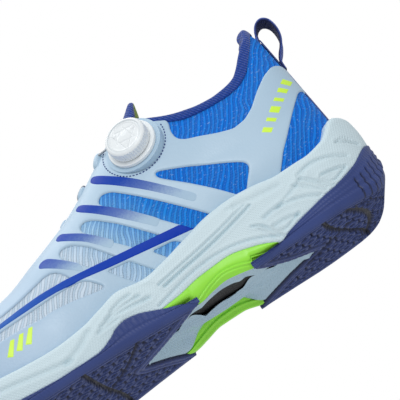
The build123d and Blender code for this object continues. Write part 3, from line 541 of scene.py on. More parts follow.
M = {}
M["mesh"] = mat_mesh()
M["film"] = mat_film()
M["stripe"] = mat_stripe()
M["band"] = mat_band()
for k_ in ("stripe", "band"):
    M[k_].node_tree.nodes["Principled BSDF"].inputs["Specular IOR Level"].default_value = .15
def mat_foam(name, lo, hi):
    """Moulded foam: pale mint with a fine knurled skin, rows of tiny diamonds."""
    m, nt, b = new_mat(name)
    v = coords(nt)
    c = ramp(nt, noise(nt, v, 25, 3), [(0.3, lo), (0.7, hi)])
    k1 = wave(nt, coords(nt, (1, 1, 1), (0, .75, 0)), 260, "X"); k2 = wave(nt, coords(nt, (1, 1, 1), (0, -.45, 0)), 260, "X")
    kn = math_(nt, "MULTIPLY", k1, k2)
    c = mixc(nt, math_(nt, "MULTIPLY", math_(nt, "SUBTRACT", 1.0, kn), .10), c, srgb(.55, .68, .73))
    L(nt, c, b.inputs["Base Color"])
    L(nt, ramp(nt, noise(nt, v, 80, 4), [(0.25, (.48,) * 3), (0.75, (.60,) * 3)]), b.inputs["Roughness"])
    bump(nt, b, [(kn, .00022), (noise(nt, v, 900, 3, .6), .00006)], strength=.7)
    return m


M["foam"] = mat_foam("m_foam", srgb(.82, .895, .925), srgb(.85, .92, .945))
# a darker, bluer copy of the foam: painted shade for the surfaces under the arch
M["foam_arch"] = mat_foam("m_foam_arch", srgb(.66, .76, .83), srgb(.71, .81, .87))
def mat_rubber():
    """Outsole rubber: indigo, finely ribbed skin, with painted shade that darkens the cuts of the tread."""
    m, nt, b = new_mat("m_rubber")
    v = coords(nt); x, y, z = xyz(nt)
    c = ramp(nt, noise(nt, v, 30, 3), [(0.3, srgb(.16, .235, .47)), (0.7, srgb(.20, .28, .53))])
    # painted shade: the stored weight takes the rubber towards near black in the tread's cuts and along the heel sipes
    at = N(nt, "ShaderNodeAttribute", attribute_name="fade")
    c = mixc(nt, math_(nt, "POWER", at.outputs["Fac"], .6), c, srgb(.025, .035, .12))
    w_ = wave(nt, coords(nt, (1, 1, 1), (0, .35, 0)), 200, "X", .4, 1)
    L(nt, c, b.inputs["Base Color"])
    L(nt, ramp(nt, noise(nt, v, 90, 4), [(0.25, (.45,) * 3), (0.75, (.60,) * 3)]), b.inputs["Roughness"])
    bump(nt, b, [(w_, .00016), (noise(nt, v, 800, 3, .6), .00006)], strength=.7)
    return m


M["rubber"] = mat_rubber()
M["tpu"] = mat_plain("m_tpu", srgb(.60, .92, .24), .38, 900, .00006, .05, .15, blotch=25)
M["carbon"] = mat_weave("m_carbon", (.002, .002, .0025), (.012, .0125, .014), 260, True, .5, .0)
M["carbon"].node_tree.nodes["Principled BSDF"].inputs["Specular IOR Level"].default_value = .22
M["collar"] = mat_knit("m_collar", srgb(.0, .27, .68), (0, .5, 0), 230)
M["knit_in"] = mat_knit("m_knit_in", srgb(.06, .22, .55), (0, .3, 0), 230)
M["lime"] = mat_knit("m_lime", srgb(.80, .98, .20), (0, 0, 0), 260)
M["web"] = mat_weave("m_web", srgb(.18, .25, .52), srgb(.33, .42, .72), 520, False, .75)
# a darker copy of the webbing: painted shade for the faces inside the pull loop
M["webin"] = mat_weave("m_webin", srgb(.05, .10, .28), srgb(.09, .16, .40), 520, False, .8)
M["print"] = mat_plain("m_print", srgb(.84, 1.0, .28), .45, 900, .00004, .04, .1)
M["dial"] = mat_plain("m_dial", srgb(.93, .95, .96), .28, 1200, .00003, .015, .35, blotch=20)
M["dialin"] = mat_plain("m_dialin", srgb(.80, .84, .87), .4, 1200, .00003, .02, .1)
M["steel"] = mat_plain("m_steel", (.55, .57, .60), .3, 1500, .00003, .08, 0, 1.0)
M["board"] = mat_plain("m_board", srgb(.86, .84, .78), .9, 900, .0002, .05)
M["eva"] = mat_plain("m_eva", srgb(.30, .38, .62), .85, 700, .0002, .05)
M["gel"] = mat_plain("m_gel", srgb(.55, .75, .85), .35, 400, .0001, .05, .2)
M["thread"] = mat_plain("m_thread", srgb(.10, .20, .48), .7, 1500, .0001, .1)
M["lace"] = mat_weave("m_lace", (.30, .31, .33), (.62, .64, .67), 1400, True, .4)


def mat_cable():
    m, nt, b = new_mat("m_cable")
    w = wave(nt, coords(nt, (1, 1, 1), (.5, .5, .5)), 900, "X")
    L(nt, mixc(nt, w, srgb(.45, .47, .5), srgb(.85, .87, .9)), b.inputs["Base Color"])
    b.inputs["Metallic"].default_value = .8
    L(nt, ramp(nt, w, [(0, (.4,) * 3), (1, (.25,) * 3)]), b.inputs["Roughness"])
    bump(nt, b, [(w, .0002)])
    return m


M["lace"] = mat_cable()

# ------------------------------------------------------------------ upper: bootie mesh
def throat(s):
    base = np.interp(s, [84, 98, 120, 150], [15, 14, 12.3, 9.6])
    close = np.sqrt(np.clip(1 - ((s - 150) / 8.0) ** 2, 0, 1))
    return np.where(s > 150, np.where(s < 158, base * close, 0.0), base)


def top_arc(side, s, drop=1.0):
    """Arc length of the bootie's top edge at each station."""
    sk = SK[side]
    s = np.atleast_1d(np.asarray(s, float))
    a_end = np.array([sk.L[min(int(round(float(sk.ui(q)))), NU)] for q in s])
    a_thr = sk.arc_y(s, throat(s) + (2.5 if side > 0 else 0))
    a = np.where(s >= 158, a_end, a_thr)
    a_rim = sk.arc(s, fRIM(s) - drop)
    return np.where(s < 98.5, np.minimum(a_rim, np.where(s > 84, a, 1e3)), a)


def orient(ob, centre=(0, 0, .04)):
    me = ob.data
    n = len(me.polygons)
    c = np.zeros(n * 3); nn = np.zeros(n * 3); ar = np.zeros(n)
    me.polygons.foreach_get("center", c); me.polygons.foreach_get("normal", nn); me.polygons.foreach_get("area", ar)
    c = c.reshape(-1, 3) - np.array(centre); nn = nn.reshape(-1, 3)
    if ((c * nn).sum(1) * ar).sum() < 0:
        me.flip_normals()
    return ob


R = 64
cols = US[::2]
half_grids = []
for side in (-1, 1):
    at = top_arc(side, cols)
    r = np.linspace(0, 1, R)
    P = SK[side].pos(cols[:, None], at[:, None] * r[None, :], 0.0)
    half_grids.append(P)
G = np.concatenate([half_grids[0], half_grids[1][::-1]], 0)
bootie = orient(grid("bootie", world(G), M["mesh"], cu=True))
sd = bootie.modifiers.new("wall", "SOLIDIFY"); sd.thickness = .0016; sd.offset = -1
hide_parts("heel_quarter", "vamp")

# ------------------------------------------------------------------ fused film
def dense(poly, step=1.0):
    poly = np.asarray(poly, float); out = []
    for a, b in zip(poly, np.roll(poly, -1, 0)):
        n = max(int(np.linalg.norm(b - a) / step), 1)
        out.append(a + (b - a) * (np.arange(n) / n)[:, None])
    return np.vstack(out)


def to_sa(side, poly, lo=0.3, hi=0.0, rnd=1):
    """A (s, z) outline carried to (s, arc), held between the feather line and the top edge."""
    p = dense(rounded(dense(poly, 3.4), 1.0, passes=rnd) if rnd else poly, 1.0)
    sk = SK[side]
    a = sk.arc(p[:, 0], np.minimum(p[:, 1], 126))
    alo = sk.arc(p[:, 0], fTOP(p[:, 0]) + lo)
    ahi = top_arc(side, p[:, 0]) - hi
    a = np.where(p[:, 1] > 125, ahi, a)
    return np.stack([p[:, 0], np.clip(a, alo, ahi)], 1)


def dedupe(p, tol=0.35):
    keep = [p[0]]
    for q in p[1:]:
        if np.linalg.norm(q - keep[-1]) > tol:
            keep.append(q)
    while len(keep) > 3 and np.linalg.norm(keep[-1] - keep[0]) < tol:
        keep.pop()
    return np.array(keep)


def film(name, side, outline, holes=(), mat=None, d_in=.85, d_edge=.12, edge=1.1, step=2.0, raw=False, lift=None):
    out = dedupe(outline); hs = [dedupe(h) for h in holes]
    lo, hi = out.min(0), out.max(0)
    gx, gy = np.meshgrid(np.arange(lo[0], hi[0], step), np.arange(lo[1], hi[1], step), indexing="ij")
    gy = gy + (np.arange(gx.shape[0]) % 2)[:, None] * step / 2
    g = np.stack([gx.ravel(), gy.ravel()], 1)

    def sdd(q):
        d = sdist(q, out)
        for h in hs:
            d = np.minimum(d, -sdist(q, h))
        return d
    g = g[sdd(g) > edge * 1.25]
    ring = []
    for loop in [out] + hs:
        t = np.roll(loop, -1, 0) - np.roll(loop, 1, 0)
        n = np.stack([-t[:, 1], t[:, 0]], 1); n /= np.maximum(np.linalg.norm(n, axis=1, keepdims=True), 1e-9)
        for k in (edge * .3, edge * .65, edge):
            for sg in (-1, 1):
                q = loop + n * k * sg
                d = sdd(q)
                ring.append(q[d > k * .93])
    ring = np.vstack(ring) if ring else np.zeros((0, 2))
    pts = np.vstack([out] + hs + [ring, g]) if len(ring) + len(g) else np.vstack([out] + hs)
    edges, k = [], 0
    for loop in [out] + hs:
        n = len(loop); edges += [(k + i, k + (i + 1) % n) for i in range(n)]; k += n
    v, e, f, _, _, _ = delaunay_2d_cdt([Vector(p) for p in pts], edges, [], 0, 1e-4)
    v = np.array([[q.x, q.y] for q in v]); f = np.array(f)
    cen = v[f].mean(1)
    f = f[sdd(cen) > 0]
    dd = np.clip(sdd(v), 0, edge)
    t = dd / edge
    d = d_edge + (d_in - d_edge) * np.sqrt(np.clip(1 - (1 - t) ** 2, 0, 1))
    if lift is not None:
        d = d + lift(v)
    P = SK[side].pos(v[:, 0], v[:, 1], d)
    used = np.unique(f); back = np.full(len(v), -1); back[used] = np.arange(len(used))
    ob = orient(make(name, world(P)[used], back[f], mat or M["film"]))
    return ob


WIN_B = [(99.6, 69.0), (97.0, 68.4), (85.3, 62.2), (69.6, 52.6), (63.2, 48.2), (61.4, 45.9), (62.0, 43.2), (66.0, 38.9), (69.3, 34.9), (71.2, 34.0), (72.9, 34.6), (82.0, 46), (89.5, 54.8), (97.0, 62.8), (99.8, 66.2)]
WIN_C = [(129.4, 73.6), (127.5, 75.6), (125.2, 75.8), (121.6, 74.0), (113.0, 64), (104.7, 54), (96.7, 44), (89.6, 35), (86, 30), (96.8, 29), (98.8, 32.3), (104.4, 39.2), (113.9, 51.2), (122.0, 61.6), (128.0, 69), (129.8, 71.7)]
WIN_D = [(144.0, 66.2), (142.4, 68.0), (139.8, 68.3), (136.0, 65.7), (128.0, 56.8), (122.0, 49), (116.5, 41.8), (113, 37), (126.2, 38.5), (129.4, 43.2), (135.5, 50.6), (141.2, 59.4), (143.7, 63.0)]
WIN_E = [(158.8, 60.4), (157.3, 61.9), (155.0, 62.0), (151.5, 60.7), (145.1, 54), (139.4, 45.2), (136.5, 40.5), (147.2, 40.5), (149.8, 44), (154.8, 50), (159.1, 56.6)]
WIN_F = [(188.0, 49.9), (178.5, 51.9), (170.4, 53.9), (167.2, 53.6), (165.2, 52.4), (163.8, 51), (161.5, 47.2), (160.2, 43), (168.4, 43.5), (178.1, 43.8), (192.3, 43), (203.8, 42.5), (224, 41), (224, 46), (205.4, 47.6), (197.8, 48.4)]
WIN_G = [(122.4, 35.1), (110.7, 33.9), (107.2, 29.5), (104, 24), (112.6, 22), (116.8, 27.2)]
WIN_H = [(144.8, 38.1), (133.5, 36.9), (124.7, 24.3), (122, 18), (130.1, 18.5), (134.4, 23.6), (140, 30.8)]
WIN_I = [(149.0, 31.3), (152.3, 36.3), (156.3, 40.3), (161.9, 41.3), (172.8, 41.3), (186.8, 41.0), (200.8, 40.6), (211.4, 40.2), (224, 38.6), (224, 34.5), (213.6, 35.4), (202.8, 36.2), (197.4, 36.1), (189.4, 35.6), (181.2, 34.6), (176.0, 35.1), (165.8, 34.1), (157.3, 32.4)]
STRIPE = [(104.2, 39.1), (128.0, 41.8), (150.8, 44.1), (163.9, 45.6), (177.5, 46.1), (188.3, 45.7), (199.3, 44.6), (210.2, 43.8), (224, 42.2), (238, 40), (238, 37.6), (224, 39.4), (211.4, 41), (200.4, 41.7), (190.0, 41.9), (179.6, 42.0), (169.2, 41.9), (159.4, 41.1), (145.5, 39.0), (130.7, 37.3), (114.4, 35.2), (99.9, 33.2), (97, 31.5), (100, 33.5)]
BANDS = [[(123.9, 89.6), (117.6, 82.0), (110.3, 74), (105.2, 67.8), (96.2, 56.4), (89.1, 47), (92.1, 44.2), (94.5, 47.0), (100.4, 54.8), (106.6, 62.3), (115.3, 72.0), (125.3, 83.4), (126.9, 86.8), (125.6, 89.4)],
         [(137.1, 79), (130.8, 71.8), (126.3, 66.7), (119.8, 59.2), (111.4, 48.2), (110.5, 46.3), (113.9, 43.8), (115.3, 46.0), (124.4, 56.8), (130.7, 64.5), (139.2, 74.5), (140.8, 77.6), (139, 79.5)],
         [(152.6, 71), (150.4, 68.5), (143.4, 61.8), (135.8, 52.5), (133.8, 49.7), (136.9, 46.5), (145.3, 57.5), (153.7, 65.5), (156.9, 68.6), (155, 71)],
         [(165.7, 63), (163.4, 61.2), (157.0, 53.5), (152.8, 48.2), (153.8, 43.7), (154.6, 44.6), (161.8, 51.9), (168.2, 58), (170.5, 59.9), (169, 62.6)]]
LAT_OVERLAY = [(9.6, 70.5), (9.6, 80), (12.5, 86.5), (19, 87), (27, 83), (35.4, 76.9), (43, 70.3), (49, 67), (56, 66),
               (64, 69), (71.4, 72.8), (78, 75.6), (81, 78.4), (81.4, 83.5), (79, 89.6), (80.5, 95), (85, 97.6), (90, 101.5), (96, 112), (97, 140),
               (244, 140), (244, 14), (52, 14), (52.4, 31.4), (44.4, 40.8), (38.2, 46.6), (28.8, 56.2), (17.3, 67.4)]
wins = [to_sa(-1, w_, rnd=2) for w_ in (WIN_B, WIN_C, WIN_D, WIN_E, WIN_F, WIN_G, WIN_H, WIN_I)]
lat = film("lateral_film", -1, to_sa(-1, LAT_OVERLAY, hi=0.2), wins)
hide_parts("lateral_overlay")
stripe = film("diagonal_stripe", -1, to_sa(-1, STRIPE, rnd=1), (), M["stripe"], d_in=1.05, d_edge=.4, edge=.6)
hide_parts("lateral_stripe")


# stores a per-point weight named fade: the print fade on the bands, and painted shade in the outsole's cuts
def weight(ob, values):
    at = ob.data.attributes.new("fade", "FLOAT", "POINT")
    at.data.foreach_set("value", np.asarray(values, np.float32))


def local(ob):
    c = np.zeros(len(ob.data.vertices) * 3); ob.data.vertices.foreach_get("co", c)
    return c.reshape(-1, 3) / MM


for k, (bd, (z1, z0)) in enumerate(zip(BANDS, ((86, 47), (77, 47), (69, 48), (62, 45)))):
    for side in (-1, 1):
        if side > 0:
            bd = [(s_, z_) for s_, z_ in bd]
        ob = film("printed_band_%d_%s" % (k, "lat" if side < 0 else "med"), side, to_sa(side, bd), (), M["band"], d_in=.97, d_edge=.84, edge=.5, step=1.6)
        weight(ob, np.clip((local(ob)[:, 2] - z0) / (z1 - z0), 0, 1) * (1.0, .95, .8, .7)[k])

# lime print on the heel arm and toe: plain slanted bars, no lettering
PRINT = []
for k in range(6):
    c = np.array([46.0, 53.2]) + (np.array([17.2, 76.4]) - np.array([46.0, 53.2])) * (k + .5) / 6
    tdir = np.array([-28.8, 23.2]); tdir /= np.linalg.norm(tdir); ndir = np.array([-tdir[1], tdir[0]])
    hgt, wid_ = 2.3, (1.5, 1.1, 1.9, 1.1, 1.5, 1.9)[k]
    PRINT.append([tuple(c + tdir * a * wid_ + ndir * b * hgt + tdir * b * .5) for a, b in ((-1, -1), (1, -1), (1, 1), (-1, 1))])
PRINT += [[(203.5, 27.0), (198.5, 33.4), (196.5, 33.0), (201.0, 25.6)], [(198.6, 27.2), (193.6, 33.6), (191.6, 33.2), (196.1, 25.8)],
          [(193.7, 27.4), (188.7, 33.8), (186.7, 33.4), (191.2, 26.0)]]
for k, poly in enumerate(PRINT):
    film("print_%d" % k, -1, to_sa(-1, poly, rnd=0), (), M["print"], d_in=.96, d_edge=.85, edge=.3, step=1.2)

MED_OVERLAY = [(11.6, 72), (11.6, 81), (19, 86), (27, 83), (38, 74), (50, 67), (64, 69), (74, 74), (80, 80), (80, 89), (80.5, 95), (85, 97.6), (90, 101.5), (96, 112), (97, 140),
               (244, 140), (244, 14), (56, 14), (54, 32), (44, 42), (30, 56), (18, 68)]
MW = [[(99, 69), (80, 60), (66, 51), (62, 46), (70, 36), (85, 51), (97, 65)],
      [(128, 75), (122, 74), (104, 54), (90, 36), (98, 33), (120, 60), (130, 71)],
      [(143, 65), (139, 67), (120, 46), (113, 36), (123, 36), (134, 50), (142, 60)],
      [(158, 58), (154, 60), (140, 45), (134, 37), (145, 37), (154, 50), (158, 55)],
      [(160, 36), (163, 48), (168, 52), (186, 48), (212, 45), (214, 32), (190, 34), (168, 32)]]
med = film("medial_film", 1, to_sa(1, MED_OVERLAY, hi=0.2), [to_sa(1, w_, rnd=2) for w_ in MW])
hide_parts("medial_overlay")

# toe cap film wraps both sides: a grid over the toe with a soft rear edge
tc = US[US > 226][::2]
halves = []
for side in (-1, 1):
    sk = SK[side]
    alo = sk.arc(tc, fTOP(tc) + .3); ahi = top_arc(side, tc)
    r = np.linspace(0, 1, 44)
    A = alo[:, None] + (ahi - alo)[:, None] * r[None, :]
    frac = np.clip((tc[:, None] - (228 + 8 * np.sin(r[None, :] * 3.0))) / 2.2, 0, 1)
    D = -.3 + 1.35 * np.sqrt(1 - (1 - frac) ** 2)
    halves.append(sk.pos(tc[:, None] + 0 * A, A, D))
toe = orient(grid("toe_film", world(np.concatenate([halves[0], halves[1][:, ::-1]], 1)), M["film"]))
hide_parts("toe_overlay")

# ------------------------------------------------------------------ knit band round the opening
cc = US[(US <= 99)]
prof = [(-1e3, .25), (-1e3, .75), (-3.4, 1.0), (-1.6, .95), (-.5, .5), (0, -.4), (.35, -1.8), (.3, -3.4), (-.4, -5.2), (-2.0, -6.4), (-5.0, -7.0), (-9, -7.2)]
bands = []
for side in (-1, 1):
    sk = SK[side]
    ar = np.minimum(sk.arc(cc, fRIM(cc)), sk.arc_y(cc, np.where(cc > 84, throat(cc) + (2.5 if side > 0 else 0), 0)))
    al = np.minimum(sk.arc(cc, fRLOW(cc)), ar - 1.2)
    taper = np.clip((cc - 11.5) / 6.0, 0, 1)
    rows = []
    for k, (da, d) in enumerate(prof):
        if da < -500:
            A = al + (0.0 if k == 0 else .5)
        else:
            A = np.maximum(ar + da, al + .6 + .1 * k) if d > .9 else ar + da
        rows.append(sk.pos(cc, A, np.full_like(cc, d)))
    bands.append(np.stack(rows, 1))
B_ = np.concatenate([bands[0][::-1], bands[1]], 0)


def catmull_rows(P, n):
    """Smooth resample along axis 1."""
    m = P.shape[1]
    t = np.linspace(0, m - 1, n); i = np.clip(t.astype(int), 0, m - 2); f = (t - i)[None, :, None]
    g = lambda k: P[:, np.clip(k, 0, m - 1)]
    p0, p1, p2, p3 = g(i - 1), g(i), g(i + 1), g(i + 2)
    return .5 * ((2 * p1) + (-p0 + p2) * f + (2 * p0 - 5 * p1 + 4 * p2 - p3) * f ** 2 + (-p0 + 3 * p1 - 3 * p2 + p3) * f ** 3)


band = orient(grid("collar_knit", world(catmull_rows(B_, 40)), M["collar"]))
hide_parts("collar_band")

# collar pad and lining, hung inside the band
pc = US[(US <= 84)][::2]
LOWZ = [(11.5, 71), (24, 71), (44, 69.5), (60, 70), (76, 76), (84, 84)]
pads = []
for side in (-1, 1):
    sk = SK[side]
    ar = sk.arc(pc, fRIM(pc)); ab = sk.arc(pc, np.interp(pc, *zip(*LOWZ)))
    n = 26; rows = []
    for k in range(n):
        r = k / (n - 1)
        a = (ar - 2.0) + (ab - ar + 2.0) * r
        d = -6.4 - 1.6 * math.sin(math.pi * min(r * 1.5, 1)) * 1.0 + 4.0 * max(0, (r - .62) / .38) ** 1.6
        rows.append(sk.pos(pc, a, np.full_like(pc, d)))
    pads.append(np.stack(rows, 1))
pad = orient(grid("collar_pad", world(np.concatenate([pads[0][::-1], pads[1]], 0)), M["knit_in"]))
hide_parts("collar_foam", "collar_lining")

# ------------------------------------------------------------------ tongue
js = np.linspace(-1, 1, 61)
rows_t = []
idx = []
for j in js:
    side = -1 if j < 0 else 1
    sk = SK[side]
    wid = 22.0 if side < 0 else 24.0
    s_top = 88.2 + 3.2 * abs(j) ** 2.2
    path = [(s, -2.1 + .9 * math.exp(-((s - 92) / 10.0) ** 2)) for s in np.linspace(160, s_top + 2.2, 46)]
    path += [(s_top + 1.0, -1.45), (s_top + .25, -2.2), (s_top, -3.2), (s_top + .3, -4.2), (s_top + 1.2, -5.0)]
    path += [(s, -5.2) for s in np.linspace(s_top + 3, 140, 26)]
    s_ = np.array([p[0] for p in path]); d_ = np.array([p[1] for p in path])
    w_ = wid * abs(j) * np.interp(s_, [88, 100, 140, 160], [1.0, .95, .75, .55])
    Ls = np.interp(s_, US, sk.L)
    rows_t.append(sk.pos(s_, Ls - w_, d_))
T = np.stack(rows_t, 1)
nseg = T.shape[0]
tongue = grid("tongue_knit", world(T), None, mats=[M["collar"], M["lime"]],
              index=np.repeat((np.arange(nseg - 1) >= 49).astype(int), len(js) - 1))
orient(tongue)
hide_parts("tongue", "tongue_lining")

# ------------------------------------------------------------------ heel tape and pull loop
zz = np.linspace(45.5, 108.5, 60); yy = np.linspace(-5.3, 5.3, 15)
TP = np.zeros((len(zz), len(yy), 3))
for i, z in enumerate(zz):
    us = US[:60]; pl, pm = [], []
    for side, acc in ((-1, pl), (1, pm)):
        p = SK[side].pos(us, SK[side].arc(us, z), 0.0)
        acc.append(p)
    pl, pm = pl[0], pm[0]
    ys = np.concatenate([pl[::-1, 1], pm[1:, 1]]); ssx = np.concatenate([pl[::-1, 0], pm[1:, 0]])
    o = np.argsort(ys)
    s_at = np.interp(yy, ys[o], ssx[o])
    edge = (np.abs(yy) / 5.3) ** 6
    TP[i, :, 0] = s_at - 1.25 + .75 * edge + .1 * np.cos(yy * 2.6); TP[i, :, 1] = yy; TP[i, :, 2] = z
tape = orient(grid("heel_seam_tape", world(TP), M["web"]))
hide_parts("heel_tape")

LOOPC = [(16.0, 104.5), (14.9, 108.6), (13.6, 112.6), (11.3, 115.9), (8.6, 117.4), (6.2, 117.0), (4.2, 114.6), (3.4, 110.6), (3.8, 106.0), (5.2, 102.2), (7.6, 98.6), (10.2, 95.6), (12.2, 92.0), (12.6, 87.0)]
lc = np.array(LOOPC)
t = np.linspace(0, len(lc) - 1, 90)
lc = catmull_rows(np.concatenate([lc, np.zeros((len(lc), 1))], 1)[None], 90)[0][:, :2]
tan = np.gradient(lc, axis=0); tan /= np.linalg.norm(tan, axis=1, keepdims=True)
nor = np.stack([-tan[:, 1], tan[:, 0]], 1)
sec = [(-5.5, 0), (-5.4, .55), (-4.8, .72), (-4.2, .6), (-2, .62), (0, .64), (2, .62), (4.2, .6), (4.8, .72), (5.4, .55), (5.5, 0),
       (5.4, -.55), (4.8, -.72), (4.2, -.6), (2, -.62), (0, -.64), (-2, -.62), (-4.2, -.6), (-4.8, -.72), (-5.4, -.55)]
LP = np.zeros((len(lc), len(sec), 3))
for k, (y, h) in enumerate(sec):
    LP[:, k, 0] = lc[:, 0] + nor[:, 0] * h; LP[:, k, 2] = lc[:, 1] + nor[:, 1] * h; LP[:, k, 1] = y
nf = len(sec)
# painted shade: the faces that look into the loop take the darker webbing copy
ix = np.tile((np.arange(nf) >= 0).astype(int) * 0, (len(lc) - 1, 1))
ix[:, 0:10] = 1      # which face looks into the loop
loop = grid("pull_loop", world(LP), None, cv=True, mats=[M["web"], M["webin"]], index=ix.ravel())
outward(loop)
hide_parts("heel_pull_loop")

# ------------------------------------------------------------------ midsole wall
def planring(n=560, inset=0.0):
    S = 4.5 + 283.5 * (1 - np.cos(np.pi * np.arange(1201) / 1200)) / 2
    l = np.stack([S, -fLAT(S)], 1); m = np.stack([S, fMED(S)], 1)[::-1]
    p = np.vstack([l, m[1:-1]]); sd_ = np.concatenate([-np.ones(len(l)), np.ones(len(m) - 2)])
    q = np.vstack([p, p[:1]])
    d = np.concatenate([[0], np.cumsum(np.linalg.norm(np.diff(q, axis=0), axis=1))])
    t = np.arange(n) / n * d[-1]
    s = np.interp(t, d, q[:, 0]); y = np.interp(t, d, q[:, 1])
    mid = d[len(l) - 1]
    side = np.where(t <= mid, -1, 1)
    for _ in range(2):
        s = (np.roll(s, 1) + 2 * s + np.roll(s, -1)) / 4; y = (np.roll(y, 1) + 2 * y + np.roll(y, -1)) / 4
    ts, ty_ = np.roll(s, -1) - np.roll(s, 1), np.roll(y, -1) - np.roll(y, 1)
    l_ = np.hypot(ts, ty_); ns, ny = ty_ / l_, -ts / l_
    sg = np.sign((ns * (s - 146) * .3 + ny * y).sum())
    return s, y, ns * sg, ny * sg, side


WRAPV = [(4.5, 28.5), (10, 25), (21.7, 16.5), (33, 12.2), (45, 9.7), (65.9, 4.9), (70.7, 3.0), (78.7, 1.5), (88, .6), (118, .6),
         (121.5, 2.1), (126.7, 4.4), (134, 6.9), (145.5, 11), (150, 11.5), (156.6, 9.8), (160, 7.6), (169.5, 4.2), (186.7, 3.8),
         (197.6, 4.6), (207, 5.6), (220, 8), (240, 12), (260, 18), (275, 24), (288, 31)]
ARCH = [(4.5, -20), (64, -8), (71, 3.1), (83.4, 9.7), (95.7, 12.4), (110.4, 11.4), (124, 8.6), (133.7, 7), (142, 0), (150, -20), (288, -20)]
fWV, fARCH = smooth(WRAPV), smooth(ARCH)

GROOVES = [   # line, width, depth; (s, z)
    ([(73, 26.6), (91.1, 22.4), (104.3, 20.0), (117.3, 17.7), (127, 15.6)], .75, 1.25),
    ([(75, 28.2), (91.3, 24.6), (105.6, 21.9), (116, 20), (129, 17.4)], .6, .8),
    ([(66, 3), (71.0, 7.4), (85.4, 14.2), (99.8, 16.0), (110.5, 14.9), (121, 12.6), (134, 8.8)], .7, .8),
    ([(70.8, 17.4), (64.1, 18.4), (56.9, 17.4), (50, 15.4), (43.4, 11.6)], .8, .9),
    ([(68.6, 11.4), (63.0, 11.3), (56.7, 9.6)], .8, .8),
    ([(63.0, 17.8), (51.2, 21.2), (46.3, 23.6), (44, 24.2)], .8, .6),
    ([(46.8, 24.0), (41, 18), (35.2, 12.4)], .7, 1.0), ([(51.4, 22.8), (46.4, 18.4), (39.2, 12.4)], .6, .7),
    ([(77.8, 17.4), (72.9, 14.6), (69.5, 6.4)], .6, .9), ([(76, 14.5), (71.9, 6.2)], .5, .6),
    ([(69.8, 12.1), (67.7, 6.2), (56.7, 10.2)], .6, .7),
    ([(37.5, 19.6), (30.3, 19.0), (25.6, 18.0)], .6, .8), ([(38.6, 18.6), (35.0, 13.2), (25.2, 17.6)], .6, .7),
    ([(46.6, 25.4), (38.0, 27.6), (29.1, 26.2), (21.2, 22.4)], .8, .8), ([(21.5, 31.2), (16.2, 29.5), (11.8, 27.3)], .7, .8),
    ([(82.6, 31.0), (70.2, 28.4), (56.7, 26.8)], 1.2, .5),
    ([(153.7, 18.0), (148.1, 20.0), (143.0, 20.4)], .9, .9), ([(157.2, 16.0), (148.9, 17.8), (139.6, 17.8)], .9, 1.0),
    ([(161.1, 14.2), (149.9, 16.0), (136.0, 14.6)], .9, 1.0), ([(163.5, 12.4), (153, 13.6)], .8, .8),
    ([(182.6, 8.2), (175.6, 10.4), (170.3, 13.2), (167.2, 15.6)], 1.2, .7),
    ([(250, 20), (213.1, 14.4), (195.9, 10.6), (180.4, 8.0)], 1.1, .7)]
FACETS = [([(82, 26), (100, 22.6), (118, 19), (128, 17.6), (136, 22), (120, 26), (100, 31), (88, 33.5), (78, 33)], .55),
          ([(60, 19.5), (50, 23), (42, 25.5), (30, 25), (26, 19), (38, 20), (48, 24.5)], .35)]
RIBS = [([(51.0, 22.4), (46.8, 23.6), (35.6, 12.6), (39.0, 12.4)], (-.73, -.68)), ([(77.4, 16.8), (72.9, 14.8), (69.7, 6.4), (71.7, 6.2)], (-.4, -.9)),
        ([(22.5, 31.0), (17, 30.6), (12.5, 28.4), (13.5, 31.5), (18, 33.4)], (-.95, -.3))]


def sculpt(s, z, side):
    q = np.stack([s.ravel(), z.ravel()], 1)
    D = np.zeros(len(q))
    for poly, w_, dep in GROOVES:
        p = np.array(poly, float)
        p = rounded(p, 1.5, closed=False, passes=2)
        d = seg_dist(q, p, closed=False)
        D -= 1.25 * dep * np.exp(-(d / w_) ** 2)
        D += .25 * dep * np.exp(-((d - 2.2 * w_) / (1.2 * w_)) ** 2)
    for poly, h in FACETS:
        D += h * ss(-.6, 1.6, sdist(q, np.array(poly, float)))
    for poly, dr in RIBS:
        m = ss(0, .8, sdist(q, np.array(poly, float)))
        D -= m * (.45 + .3 * np.sin((q @ np.array(dr)) * 2 * np.pi / 1.25))
    return D.reshape(s.shape)


s, y, ns, ny, side = planring(860)
zt, zb = fTOP(s), np.maximum(fWV(s), fARCH(s) + np.where(side > 0, 1.0, 0)) - .2
nb = 64
rows = []
head = [(-8, .1), (-3.0, .6), (-1.6, .75), (-.5, .45), (.35, -.25), (.85, -1.2)]
for o, dz in head:
    rows.append((np.full_like(s, o), zt + dz))
for k in range(nb):
    r = k / (nb - 1)
    z = (zt - 2.0) * (1 - r) + (zb + 1.0) * r
    belly = 1.0 + .5 * math.sin(math.pi * r)
    rows.append((belly + sculpt(s, z, side), z))
rows += [(np.full_like(s, .95), zb + .45), (np.full_like(s, .55), zb + .05), (np.full_like(s, -2.4), zb - .1)]
W = np.stack([np.stack([s + ns * o, y + ny * o, z], 1) for o, z in rows], 1)
wall = orient(grid("midsole_wall", world(W), M["foam"], cu=True), (0, 0, .02))

# ------------------------------------------------------------------ outsole with its tread
HEEL_RUBBER = [(-2, -70), (86, -70), (88, -33), (84, -27), (70, -12), (58, -3), (54, 0), (58, 3), (70, 11),
               (84, 24), (89, 30), (88, 70), (-2, 70)]
FORE_RUBBER = [(295, -70), (119, -70), (118, -40), (124, -32), (138, -16), (150, -4), (154, 0), (151, 5),
               (142, 15), (134, 26), (129, 31), (130, 70), (295, 70)]


